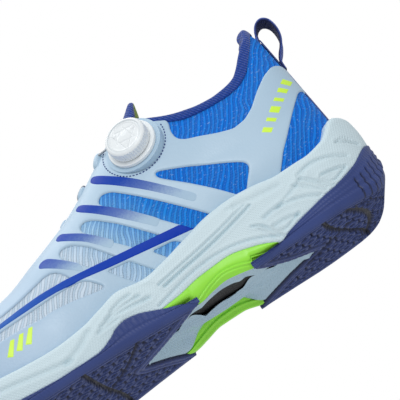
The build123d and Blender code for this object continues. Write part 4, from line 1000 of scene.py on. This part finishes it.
def hexfield(s, y, pitch=8.5, rot=0.0):
    """Signed size of the hex cell (0 at centre, 1 at its edge) and distance to its centre."""
    c, sn = math.cos(rot), math.sin(rot)
    u, v = s * c - y * sn, s * sn + y * c
    a = pitch; b = pitch * math.sqrt(3)
    best = np.full(u.shape, 1e9); hx = np.zeros_like(best)
    for ou, ov in ((0, 0), (.5, .5)):
        du = (u / a - ou) - np.round(u / a - ou); dv = (v / b - ov) - np.round(v / b - ov)
        du, dv = du * a, dv * b
        r = np.hypot(du, dv)
        h = np.maximum(np.abs(du), np.abs(du) * .5 + np.abs(dv) * .866) / (a / 2)
        m = r < best
        best = np.where(m, r, best); hx = np.where(m, h, hx)
    return hx, best


def tread(s, y, zone, wl, wm):
    """Height of the tread's surface above its lowest point, in mm."""
    q = np.stack([s.ravel(), y.ravel()], 1)
    poly = HEEL_RUBBER if zone == "heel" else FORE_RUBBER
    nd = sdist(q, np.array(poly, float)).reshape(s.shape)
    ed = np.minimum(np.minimum(y + wl, wm - y), 60)
    if zone == "heel":
        ed = np.minimum(ed, (s - 4.5) * .9 + 0)
    else:
        ed = np.minimum(ed, (288 - s) * .9)
    e = np.minimum(ed, nd)
    hx, r = hexfield(s, y, 8.5, .12 if zone == "heel" else -.1)
    H = 1.7 * ss(.80, .90, hx)                                  # gaps between the lugs
    H = np.maximum(H, 1.5 * (1 - ss(.34, .42, hx)))             # a hexagonal hole in each lug
    H += .35 * np.exp(-((hx - .60) / .05) ** 2)                 # step between the two rims
    rim = 5.5 if zone == "heel" else 6.5
    band_ = 1 - ss(rim, rim + .6, e)
    H = H * (1 - band_)
    H = np.maximum(H, 1.3 * np.exp(-((e - rim - .2) / .6) ** 2))
    H = np.maximum(H, .6 * np.exp(-((e - rim * .55) / .45) ** 2))
    # ribs on the outer rim
    rib = (np.sin(s * 2.1 + y * .3) > .2) * 1.0
    H += .25 * rib * band_ * ss(.3, 1.0, e) * (1 - ss(rim * .45, rim * .5, e))
    cuts = ([[(50, -36), (46, -18), (36, 0), (27, 14), (22, 34)]] if zone == "heel" else
            [[(181, -60), (176, -10), (170, 20), (168, 60)], [(214, -60), (208, -10), (200, 20), (197, 60)],
             [(244, -60), (240, 0), (232, 60)], [(150, -46), (160, -20), (176, 2)]])
    for c in cuts:
        d = seg_dist(q, rounded(np.array(c, float), 2, closed=False), closed=False).reshape(s.shape)
        H = np.maximum(H, 2.4 * np.exp(-(d / 1.15) ** 4))
    if zone == "heel":
        H = np.maximum(H, 1.2 * sipes(s, y) * ss(1.0, 2.0, ed))
        d = seg_dist(q, rounded(np.array([(37, -31), (30, -20), (24, -6), (22, 8), (26, 24)], float), 2, closed=False), closed=False).reshape(s.shape)
        H = np.maximum(H, 2.0 * np.exp(-(d / 1.6) ** 4))
        d = seg_dist(q, np.array([(32, -12), (60, 9)], float), closed=False).reshape(s.shape)
        H = np.maximum(H, 2.2 * np.exp(-(d / 1.5) ** 4))
    # turn up into the notch between the two rubbers
    H = np.where(nd < 1.6, np.maximum(H, 3.6 * (1 - np.sqrt(np.clip(1 - ((1.6 - np.clip(nd, 0, 1.6)) / 1.6) ** 2, 0, 1)))), H)
    return H, nd


def sipes(s, y):
    """Radial cuts round the back of the heel, with one ring joining them."""
    th = np.degrees(np.arctan2(y, 44 - s)); r = np.hypot(y, 44 - s)
    f = np.abs(th) < 62
    k = np.abs(((th + 64) / 7.2) % 1.0 - .5) * 7.2 * np.pi / 180 * r
    line = np.exp(-(k / .42) ** 4)
    ring_ = np.exp(-((r - 30.5) / .42) ** 4) + .0
    return np.where(f, np.maximum(line * ss(22.5, 23.5, r), ring_), 0)


def outsole(name, zone, s0, s1, ncol, nrow, node):
    if zone == "heel":
        k = np.linspace(0, 1, ncol); S = s0 + (s1 - s0) * (.72 * k + .28 * k ** 3)
        S[0] = s0 + .02
        S = s0 + (s1 - s0) * (1 - np.cos(np.pi / 2 * k)) * .35 + (s1 - s0) * k * .65
    else:
        k = np.linspace(0, 1, ncol); S = s0 + (s1 - s0) * (.65 * k + .35 * np.sin(np.pi / 2 * k))
    wl, wm = fLAT(S) + .2, fMED(S) + .2
    dl = np.gradient(wl, S); dm = np.gradient(wm, S)
    rows = []
    zu = fUNDER(S); zw = np.maximum(fWV(S), zu + .6)
    width = np.maximum(wl + wm, .4)
    r = np.minimum(3.2, width * .22)

    def wallrow(side, f, o):
        w_, dw = (wl, dl) if side < 0 else (wm, dm)
        nn = np.sqrt(1 + dw ** 2)
        z = zw + (zu + r - zw) * f
        if zone == "heel" and np.ndim(f) == 0 and f > .28:
            o = o - .8 * sipes(S, side * w_) * min((f - .28) / .1, 1)
        return np.stack([S - dw / nn * o, side * (w_ + o / nn), z], 1)
    nw = 16
    for side, order in ((-1, range(nw)),):
        rows.append(wallrow(-1, 0, -1.8)); rows.append(wallrow(-1, 0, .5))
        for i in order:
            f = .03 + .97 * i / (nw - 1)
            rib = .22 * np.sin(S * 2.4 + f * 2) * ss(.12, .2, f) * (1 - ss(.62, .7, f)) if zone != "heel" else .18 * np.sin((fWV(S) * .0 + f * 22))
            rows.append(wallrow(-1, f, 1.25 + rib - .5 * np.exp(-((f - .72) / .05) ** 2)))
    for i in range(1, 6):
        a = math.pi / 2 * i / 6
        yy_ = -(wl + 1.1) + r * (1 - math.cos(a)); rows.append(np.stack([S, yy_, zu + r * (1 - math.sin(a))], 1))
    yl, ym = -(wl + 1.1) + r, (wm + 1.1) - r
    v = np.linspace(0, 1, nrow)
    YB = yl[:, None] + (ym - yl)[:, None] * v[None, :]
    SB = np.repeat(S[:, None], nrow, 1)
    H, nd = tread(SB, YB, zone, (wl + 1.1)[:, None], (wm + 1.1)[:, None])
    fadeH = ss(.5, 3, width)[:, None]
    BT = np.stack([SB, YB, zu[:, None] + H * fadeH], -1)
    left = np.stack(rows, 1)
    rows = []
    for i in range(5, 0, -1):
        a = math.pi / 2 * i / 6
        yy_ = (wm + 1.1) - r * (1 - math.cos(a)); rows.append(np.stack([S, yy_, zu + r * (1 - math.sin(a))], 1))
    for i in range(nw - 1, -1, -1):
        f = .03 + .97 * i / (nw - 1)
        rib = .22 * np.sin(S * 2.4 + f * 2) * ss(.12, .2, f) * (1 - ss(.62, .7, f)) if zone != "heel" else .18 * np.sin(f * 22)
        rows.append(wallrow(1, f, 1.25 + rib - .5 * np.exp(-((f - .72) / .05) ** 2)))
    rows.append(wallrow(1, 0, .5)); rows.append(wallrow(1, 0, -1.8))
    P = np.concatenate([left, BT, np.stack(rows, 1)], 1)
    q = P[..., :2].reshape(-1, 2)
    poly = HEEL_RUBBER if zone == "heel" else FORE_RUBBER
    ndall = sdist(q, np.array(poly, float)).reshape(P.shape[:2])
    cell = (ndall[:-1, :-1] + ndall[1:, :-1] + ndall[:-1, 1:] + ndall[1:, 1:]) / 4
    nl = left.shape[1]
    P[:, nl - 4:nl + nrow + 4, 2] += np.where(ndall < 0, 2.0, 0)[:, nl - 4:nl + nrow + 4]
    # painted shade: a weight that darkens the rubber where the tread is cut deep and along the heel sipes on the walls
    tread_cut_shade = np.zeros(P.shape[:2]); nl = left.shape[1]
    tread_cut_shade[:, nl:nl + nrow] = np.clip(H / 1.9, 0, 1) ** 1.3
    if zone == "heel":
        for sl in (slice(8, nl), slice(nl + nrow, P.shape[1] - 8)):
            tread_cut_shade[:, sl] = .8 * sipes(P[:, sl, 0], P[:, sl, 1])
    keep = cell > -.35
    used = np.unique(grid_faces(*P.shape[:2], keep=keep))
    ob = orient(grid(name, world(P), M["rubber"], keep=keep), (0, 0, .05))
    weight(ob, tread_cut_shade.ravel()[used])
    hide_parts(node)
    return ob


outsole("heel_rubber", "heel", 4.5, 90, 170, 140, "outsole_heel")
outsole("forefoot_rubber", "fore", 116.5, 288, 330, 190, "outsole_forefoot")

# ------------------------------------------------------------------ rotary dial
DO = np.array([45.471, -26.83, 88.405]); DN = np.array([-0.20592, -0.90267, 0.37786]); DN /= np.linalg.norm(DN)
e1 = np.array([-1, .3, 0.0]); e1 -= DN * (e1 @ DN); e1 /= np.linalg.norm(e1); e2 = np.cross(DN, e1)


def revolve(name, prof, mat, body, n=160, mod=None, closed=False, **kw):
    th = np.arange(n) / n * 2 * np.pi
    P = np.zeros((n, len(prof), 3))
    for j, (r, h) in enumerate(prof):
        rr = np.full(n, float(r)); hh = np.full(n, float(h))
        if mod:
            rr, hh = mod(th, rr, hh)
        P[:, j] = DO + DN * hh[:, None] + (np.cos(th) * rr)[:, None] * e1 + (np.sin(th) * rr)[:, None] * e2
    ob = grid(name, P * MM, mat, body, cu=True, cv=closed, **kw)
    outward(ob)
    return ob


def flutes(th, r, h):
    k = ((h > 3.6) & (h < 8.4) & (r > 10.3))
    return np.where(k, r - .42 * (.5 + .5 * np.cos(44 * th)) ** 2.2, r), h


kp = [(0.01, 8.1), (9.6, 8.1), (9.7, 7.9), (9.7, 3.2), (10.5, 3.1), (10.85, 3.3), (11, 3.6), (11, 3.9), (11, 5), (11, 6), (11, 7), (11, 7.8), (10.95, 8.3),
      (10.75, 8.6), (10.4, 8.95), (9.9, 9.3), (9.6, 9.4), (9.3, 9.38), (9.15, 9.2), (9.1, 8.75), (0.01, 8.75)]
knob = revolve("dial_grip", kp, M["dial"], "knob", 352, flutes, angle=40)
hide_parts("dial_knob")

nr, nt_ = 60, 180
rr = np.linspace(.02, 9.0, nr); th = np.arange(nt_) / nt_ * 2 * np.pi
RR, TH = np.meshgrid(rr, th, indexing="ij")
px, py = RR * np.cos(TH), RR * np.sin(TH)
tri = np.max([px * math.cos(a) + py * math.sin(a) for a in (0.3, 0.3 + 2.094, 0.3 + 4.189)], 0)
tri2 = np.max([px * math.cos(a) + py * math.sin(a) for a in (1.347, 1.347 + 2.094, 1.347 + 4.189)], 0)
hh = 9.0 + .32 * np.exp(-((RR - 8.2) / .35) ** 2)
hh += np.where(tri < 3.9, .42 - .09 * tri, 0) * (1 - .0 * RR)
hh -= .30 * np.exp(-((tri2 - 2.9) / .35) ** 2) * (RR < 6.8)
hh -= .28 * np.exp(-((tri - 4.1) / .3) ** 2) * (RR < 7.2)
hh += .16 * (np.abs(((TH - .3) % 2.094) - 1.047) < .16) * (RR > 4.9) * (RR < 7.2)
hh = np.minimum(hh, 9.42)
hh[-1] = 8.72
CP = DO + DN * hh[..., None] + px[..., None] * e1 + py[..., None] * e2
cap = grid("dial_inlay", CP * MM, M["dial"], "knob", cv=True, angle=30)
orient(cap, tuple((DO - DN * 20) * MM))
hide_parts("dial_cap")

hp = [(9.6, 2.3), (9.6, 2.75), (11.2, 2.85), (12.4, 2.75), (12.85, 2.45), (13.0, 2.0), (13.0, 1.3), (12.9, .9), (12.6, .72), (9.4, .72), (9.4, 1.6), (9.5, 2.2)]
housing = revolve("dial_base_ring", hp, M["dial"], "shoe", 128, None, closed=True, angle=40)
fp = [(12.0, -2.5), (15.9, -2.5), (16.0, -1.5), (15.7, -.4), (15.0, .35), (14.0, .66), (13.0, .7), (12.0, .7)]

# stitches round the dial
st_pts = []
for k in range(60):
    a = k / 60 * 2 * math.pi
    p = DO + 17.2 * (math.cos(a) * e1 + math.sin(a) * e2)
    s_, z_ = XD - p[0], p[2]
    if z_ > float(fRIDGE(s_)) - 3 or z_ > float(fRIM(s_)) - 6 and s_ < 98:
        continue
    q = SK[-1].pos(np.array([s_]), SK[-1].arc(np.array([s_]), np.array([z_])), np.array([.9]))[0]
    w3 = np.array([XD - q[0], q[1], q[2]])
    tang = -math.sin(a) * e1 + math.cos(a) * e2
    st_pts.append((w3, tang))
V, F = [], []
for c, tg in st_pts:
    b0 = len(V)
    nrm = DN; bt = np.cross(nrm, tg)
    for i in range(5):
        ph = math.pi * i / 4
        for j in range(6):
            la = 2 * math.pi * j / 6
            V.append((c + tg * (.62 * -math.cos(ph)) + bt * (.34 * math.sin(ph) * math.cos(la)) + nrm * (.30 * math.sin(ph) * math.sin(la))) * MM)
    for i in range(4):
        for j in range(6):
            F.append((b0 + i * 6 + j, b0 + i * 6 + (j + 1) % 6, b0 + (i + 1) * 6 + (j + 1) % 6, b0 + (i + 1) * 6 + j))
if V:
    st = make("dial_stitches", V, F, M["thread"])

# ------------------------------------------------------------------ under the arch
HR, FR = np.array(HEEL_RUBBER, float), np.array(FORE_RUBBER, float)
fLIP = smooth([(60, 4), (76, 4), (84, 3), (88, -2), (93, -13), (99.7, -20.8), (105, -22.3), (111.5, -20), (118.2, -13.6), (122.1, -5.6), (126, 1), (134, 3), (150, 3)])
fWIN = smooth([(80, 5), (87, 6.5), (97, 6.6), (106, 5.2), (115.5, 6.4), (123, 5), (134, 4)])
fZL = smooth([(60, .4), (80, .5), (85.6, .9), (95, 2.7), (102, 3.6), (109.3, 2.5), (118, .7), (124, 1.2), (134, .9), (150, .4)])
fZT = smooth([(60, 2.0), (74, 2.2), (80, 3), (84, 4.8), (92, 9.2), (103, 11.8), (115, 10.2), (127, 5.4), (131, 3.2), (136, 2.2), (152, 2)])
fZM = smooth([(60, .3), (75, .35), (81.6, .5), (87.4, 1.2), (98.3, 3.9), (110.9, 4.1), (120.7, 2.2), (127.5, .9), (134, .5), (152, .3)])
fCRE = lambda s: fLIP(s) + np.maximum(0, fWIN(s) - fLIP(s)) * ss(84.5, 94, s) * (1 - ss(116.5, 126, s))


def gap(S, Y):
    """Distance outside the two rubber pads."""
    q = np.stack([S, Y], -1).reshape(-1, 2)
    return -np.maximum(sdist(q, HR), sdist(q, FR)).reshape(np.shape(S))


def ceiling(S, Y):
    d = gap(S, Y); g = ss(-1, 8, d)
    top = 8.4 + (fZT(S) - 8.4) * ss(20.5, 26.3, Y)
    base = 1.9 + 1.5 * ss(.3, 1.6, -d)
    return top * g + base * (1 - g)


def strip(name, s0, s1, ya, yb, zf, mat, n=190, m=40, ridge=(), lim=-5.0):
    S = np.linspace(s0, s1, n)[:, None] * np.ones((1, m)); v = np.linspace(0, 1, m)[None, :]
    a = (ya(S[:, 0]) if callable(ya) else np.full(n, ya))[:, None]; b_ = (yb(S[:, 0]) if callable(yb) else np.full(n, yb))[:, None]
    Y = a + (b_ - a) * v
    Z = zf(S, Y, v)
    d = gap(S, Y); q = np.stack([S, Y], -1).reshape(-1, 2)
    for line, wd, dp in ridge:
        e = seg_dist(q, rounded(np.array(line, float), 1.5, closed=False), closed=False).reshape(S.shape)
        Z = Z + dp * np.exp(-(e / wd) ** 2) * ss(.5, 4, d)
    cell = (d[:-1, :-1] + d[1:, :-1] + d[:-1, 1:] + d[1:, 1:]) / 4
    ob = grid(name, world(np.stack([S, Y, Z], -1)), mat, keep=cell > lim)
    nn = np.zeros(len(ob.data.polygons) * 3); ob.data.polygons.foreach_get("normal", nn)
    if nn.reshape(-1, 3)[:, 2].sum() > 0:
        ob.data.flip_normals()
    return ob


def lift(S):
    zc = ceiling(S, fLIP(S))
    return 4.9 + (zc - 4.9) * (1 - ss(88, 96, S) * (1 - ss(116, 124, S)))


def lip(S, Y, v):
    d = gap(S, Y)
    return fZL(S) + (np.maximum(lift(S), fZL(S) + .2) - fZL(S)) * np.sin(v * np.pi / 2) ** .9 * ss(-3, 5, d) + 3.0 * ss(.3, 1.6, -d)


YL = lambda s: -(fLAT(s) - 2.2)
# the arch's foam strips take the darker foam copy, painted shade under the arch
strip("arch_lip", 54, 152, YL, fLIP, lip, M["foam_arch"], n=240,
      ridge=[([(84, -29), (96, -28.5), (108, -28.5), (120, -25)], .8, .5), ([(70, -8), (84, -16), (96, -25.5), (108, -26.5)], 1.1, -.9),
             ([(74, -4), (86, -10), (93, -18)], .9, -.8)])
strip("arch_lip_edge", 86, 125, fLIP, lambda s: fLIP(s) + .6 * ss(84.5, 94, s) * (1 - ss(116.5, 126, s)),
      lambda S, Y, v: lift(S) + np.maximum(0, 8.7 - lift(S)) * v, M["foam_arch"], m=8)
strip("arch_carbon", 84, 127, fLIP, fCRE, lambda S, Y, v: 8.7 + 0 * S, M["carbon"], m=24)
strip("arch_ceiling", 54, 152, fCRE, 26.3, lambda S, Y, v: ceiling(S, Y) - .5 * np.exp(-(v / .04) ** 2) * ss(88, 93, S) * (1 - ss(118, 123, S)), M["foam_arch"], n=260, m=90,
      ridge=[([(72, 3), (88, 9), (106, 9.5), (122, 6), (138, 1)], 1.2, -1.3), ([(76, 8), (92, 14), (106, 15), (122, 12), (136, 5)], 1.1, -1.2),
             ([(84, 17), (96, 20), (108, 20.5), (122, 18)], 1.0, -1.0), ([(98, 6), (106, 5.5), (116, 6.5)], .7, -.6)])

S1 = np.linspace(62, 148, 220)[:, None]
ztop = np.maximum(fWV(S1), fARCH(S1)) + .7
v1 = np.linspace(0, 1, 40)[None, :]
zz = ztop + (fZL(S1) - ztop) * v1 ** .92
crease = .35 + .5 * np.abs((S1 - 100) / 26) ** 1.6
oo = .1 + .75 * np.sin(np.pi * v1) - 2.3 * v1 ** 4 + .0 * S1
for c0_, dp in ((.18, .45), (.34, .35)):
    cc = c0_ + crease
    oo = oo - dp * np.exp(-((v1 - cc) / .045) ** 2) * ss(72, 84, S1) + .6 * dp * np.exp(-((v1 - cc - .09) / .05) ** 2)
zz = zz + 3.2 * ss(.3, 1.6, -gap(S1 + 0 * v1, -(fLAT(S1) + oo))) * v1
PL = np.stack([S1 + 0 * v1, -(fLAT(S1) + oo), zz], -1)
railL = orient(grid("arch_rail_lateral_skin", world(PL), M["tpu"]), (0, 0, .02))
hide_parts("arch_rail_lateral")

wm = fMED(S1)
vi = np.linspace(0, 1, 22)[None, :]; vu = np.linspace(0, 1, 20)[None, 1:]; vo = np.linspace(0, 1, 18)[None, 1:]
Yi = 26.3 + 1.9 * vi + 0 * S1; Zi = fZT(S1) + (fZM(S1) + .3 - fZT(S1)) * vi ** .85
Zi = Zi + 0 * vi
Yi = Yi + .7 * np.exp(-((vi - .35) / .08) ** 2) - .4 * np.exp(-((vi - .55) / .09) ** 2)
Yu = 28.2 + (wm - .3 - 28.2) * vu; Zu = fZM(S1) + .3 + 1.0 * vu ** 2 - .35 * np.sin(np.pi * vu)
ztm = np.maximum(fWV(S1), fARCH(S1) + 1.0) + .7
Yo = wm - .3 + .9 * np.sin(np.pi * vo) + .3 * vo; Zo = fZM(S1) + 1.3 + (ztm - fZM(S1) - 1.3) * vo
PM = np.stack([S1 + 0 * np.concatenate([Yi, Yu, Yo], 1), np.concatenate([Yi, Yu, Yo], 1), np.concatenate([Zi, Zu, Zo], 1)], -1)
PM[..., 2] += 3.2 * ss(.3, 1.6, -gap(PM[..., 0], PM[..., 1])) * (np.arange(PM.shape[1]) < 50)
railM = orient(grid("arch_rail_medial_skin", world(PM), M["tpu"]), (0, 20 * MM, .012))
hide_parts("arch_rail_medial")
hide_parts("midsole")

# ------------------------------------------------------------------ low lace guides
for node in ("lateral_lace_guides", "medial_lace_guides"):
    src = frame["nodes"][node]
    mw = np.array(src.matrix_world)
    co = np.zeros(len(src.data.vertices) * 3); src.data.vertices.foreach_get("co", co)
    co = co.reshape(-1, 3) @ mw[:3, :3].T + mw[:3, 3]
    cut = np.sort(co[:, 0]); gaps = np.argsort(np.diff(cut))[-2:]
    edges = sorted((cut[g] + cut[g + 1]) / 2 for g in gaps)
    V, F, base_ = [], [], 0
    for lo, hi in zip([-9] + edges, edges + [9]):
        p = co[(co[:, 0] > lo) & (co[:, 0] < hi)]
        c = (p.min(0) + p.max(0)) / 2
        _, _, ax = np.linalg.svd(p - c, full_matrices=False)
        ex = np.abs((p - c) @ ax.T).max(0)
        inward = np.array([0, 0, .05]) - np.array([0, c[1], c[2]]); inward /= np.linalg.norm(inward)
        nth, nph = 24, 13
        for a in range(nph):
            ph = math.pi * a / (nph - 1)
            for b_ in range(nth):
                th = 2 * math.pi * b_ / nth
                u_ = [math.copysign(abs(math.cos(th)) ** .7, math.cos(th)) * math.sin(ph) ** .7, math.copysign(abs(math.sin(th)) ** .7, math.sin(th)) * math.sin(ph) ** .7, math.cos(ph)]
                V.append(c + inward * .0007 + ax[0] * u_[0] * ex[0] * .8 + ax[1] * u_[1] * ex[1] * .62 + ax[2] * u_[2] * ex[2] * .55)
        F += [tuple(base_ + k_ for k_ in f_) for f_ in grid_faces(nph, nth, False, True).tolist()]
        base_ += nph * nth
    pads = make(node.replace("_lace", "_lace_low"), np.array(V), F, M["film"])
    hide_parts(node)


# ------------------------------------------------------------------ the carried-over CAD nodes
CAD = {"midsole": "foam", "arch_rail_lateral": "tpu", "arch_rail_medial": "tpu", "carbon_shank": "carbon",
       "heel_cushion_insert": "gel", "forefoot_cushion_insert": "gel", "strobel_board": "board", "insole_foam": "eva",
       "insole_cover": "knit_in", "heel_quarter": "mesh", "vamp": "mesh", "lateral_overlay": "film",
       "medial_overlay": "film", "toe_overlay": "film", "lateral_stripe": "stripe", "heel_counter": "dialin",
       "toe_puff": "dialin", "collar_band": "collar", "collar_foam": "eva", "collar_lining": "knit_in",
       "foot_lining": "knit_in", "tongue": "collar", "tongue_lining": "lime", "heel_tape": "web",
       "heel_pull_loop": "web", "dial_flange": "film", "dial_housing": "dial", "dial_spool": "dialin",
       "dial_screw": "steel", "dial_drive_ring": "dialin", "dial_release_spring": "steel", "dial_knob": "dial",
       "dial_cap": "dial", "lace_cable": "lace", "lateral_lace_guides": "film", "medial_lace_guides": "film",
       "outsole_heel": "rubber", "outsole_forefoot": "rubber"}
for k_ in ("collar", "mesh", "knit_in"):
    M[k_].node_tree.nodes["Principled BSDF"].inputs["Specular IOR Level"].default_value = .12
for name, ob in frame["nodes"].items():
    m = M[CAD.get(name, "foam")]
    if not ob.material_slots:
        ob.data.materials.append(m)
    for sl in ob.material_slots:
        sl.material = m
for n in ("arch_rail_lateral", "arch_rail_medial", "dial_flange", "dial_housing", "lateral_lace_guides", "medial_lace_guides"):
    ob = frame["nodes"][n]
    w = ob.modifiers.new("weld", "WELD"); w.merge_threshold = 1e-6
    bv = ob.modifiers.new("bevel", "BEVEL"); bv.width = .0008 if "rail" in n else .0004; bv.segments = 3
    bv.limit_method = "ANGLE"; bv.angle_limit = math.radians(35); bv.harden_normals = False

for ob in ALL:
    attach(ob, ob["body_name"])

# ------------------------------------------------------------------ stage, light and camera
scn = bpy.context.scene
w = bpy.data.worlds.new("w"); scn.world = w; w.use_nodes = True
wn = w.node_tree; bg = wn.nodes["Background"]
bg.inputs[0].default_value = (.97, .985, 1, 1); bg.inputs[1].default_value = .60          # light from all round
bw = N(wn, "ShaderNodeBackground"); bw.inputs[0].default_value = (1, 1, 1, 1); bw.inputs[1].default_value = 1.0
lpw = N(wn, "ShaderNodeLightPath"); mw = N(wn, "ShaderNodeMixShader")
L(wn, lpw.outputs["Is Camera Ray"], mw.inputs[0]); L(wn, bg.outputs[0], mw.inputs[1]); L(wn, bw.outputs[0], mw.inputs[2])
L(wn, mw.outputs[0], wn.nodes["World Output"].inputs["Surface"])

me = bpy.data.meshes.new("floor"); R_ = 4.0
me.from_pydata([(-R_, -R_, 0), (R_, -R_, 0), (R_, R_, 0), (-R_, R_, 0)], [], [(0, 1, 2, 3)])
floor = bpy.data.objects.new("floor", me); scn.collection.objects.link(floor)
floor.location.z = -0.0003
fm, nt, b = new_mat("m_floor")
b.inputs["Base Color"].default_value = (.9, .9, .9, 1); b.inputs["Roughness"].default_value = .9
lp = N(nt, "ShaderNodeLightPath"); ge = N(nt, "ShaderNodeNewGeometry"); tr = N(nt, "ShaderNodeBsdfTransparent")
mx = N(nt, "ShaderNodeMixShader"); out = nt.nodes["Material Output"]
fx, fy, fz = xyz(nt)
fr = math_(nt, "SQRT", math_(nt, "ADD", math_(nt, "MULTIPLY", fx, fx), math_(nt, "MULTIPLY", fy, fy)))
fade = math_(nt, "SUBTRACT", 1.0, math_(nt, "DIVIDE", math_(nt, "SUBTRACT", fr, .22), .30, clamp=True), clamp=True)
front = math_(nt, "MULTIPLY", math_(nt, "MULTIPLY", lp.outputs["Is Camera Ray"], math_(nt, "SUBTRACT", 1.0, ge.outputs["Backfacing"])), fade)
L(nt, front, mx.inputs[0]); L(nt, tr.outputs[0], mx.inputs[1]); L(nt, b.outputs[0], mx.inputs[2]); L(nt, mx.outputs[0], out.inputs[0])
me.materials.append(fm)


def area(name, loc, target, size, power, color=(1, 1, 1)):
    l = bpy.data.lights.new(name, "AREA"); l.energy = power; l.size = size; l.color = color
    o = bpy.data.objects.new(name, l); scn.collection.objects.link(o)
    o.location = loc
    o.rotation_mode = "QUATERNION"
    o.rotation_quaternion = (Vector(target) - Vector(loc)).to_track_quat("-Z", "Y")
    return o


R3 = Vector((0.827996, 0.108837, -0.550070)); U3 = Vector((0.552009, -0.330590, 0.765504)); B3 = Vector((-0.098533, -0.937477, -0.333807))
cam = bpy.data.cameras.new("cam"); co = bpy.data.objects.new("cam", cam); scn.collection.objects.link(co)
co.matrix_world = Matrix(((R3.x, U3.x, B3.x, -0.010564), (R3.y, U3.y, B3.y, -0.663461), (R3.z, U3.z, B3.z, -0.180492), (0, 0, 0, 1)))
cam.sensor_width = 36; cam.lens = 128.59; cam.clip_start = .01; cam.clip_end = 20
scn.camera = co
c0 = Vector((0, 0, .055))
area("key", c0 + B3 * .9 + U3 * 1.0 - R3 * .5, c0, .5, 6.6)
area("fill", c0 + B3 * 1.0 - U3 * .5 + R3 * .9, c0, .9, 1.3)
area("under", c0 + B3 * .5 - U3 * 1.1, c0, .9, .8)
area("top", (0, .2, 1.3), c0, 1.0, 6.0)
area("far", (.2, 1.2, .6), c0, .9, 3.2)
scn.view_settings.view_transform = "Standard"
scn.view_settings.look = "None"
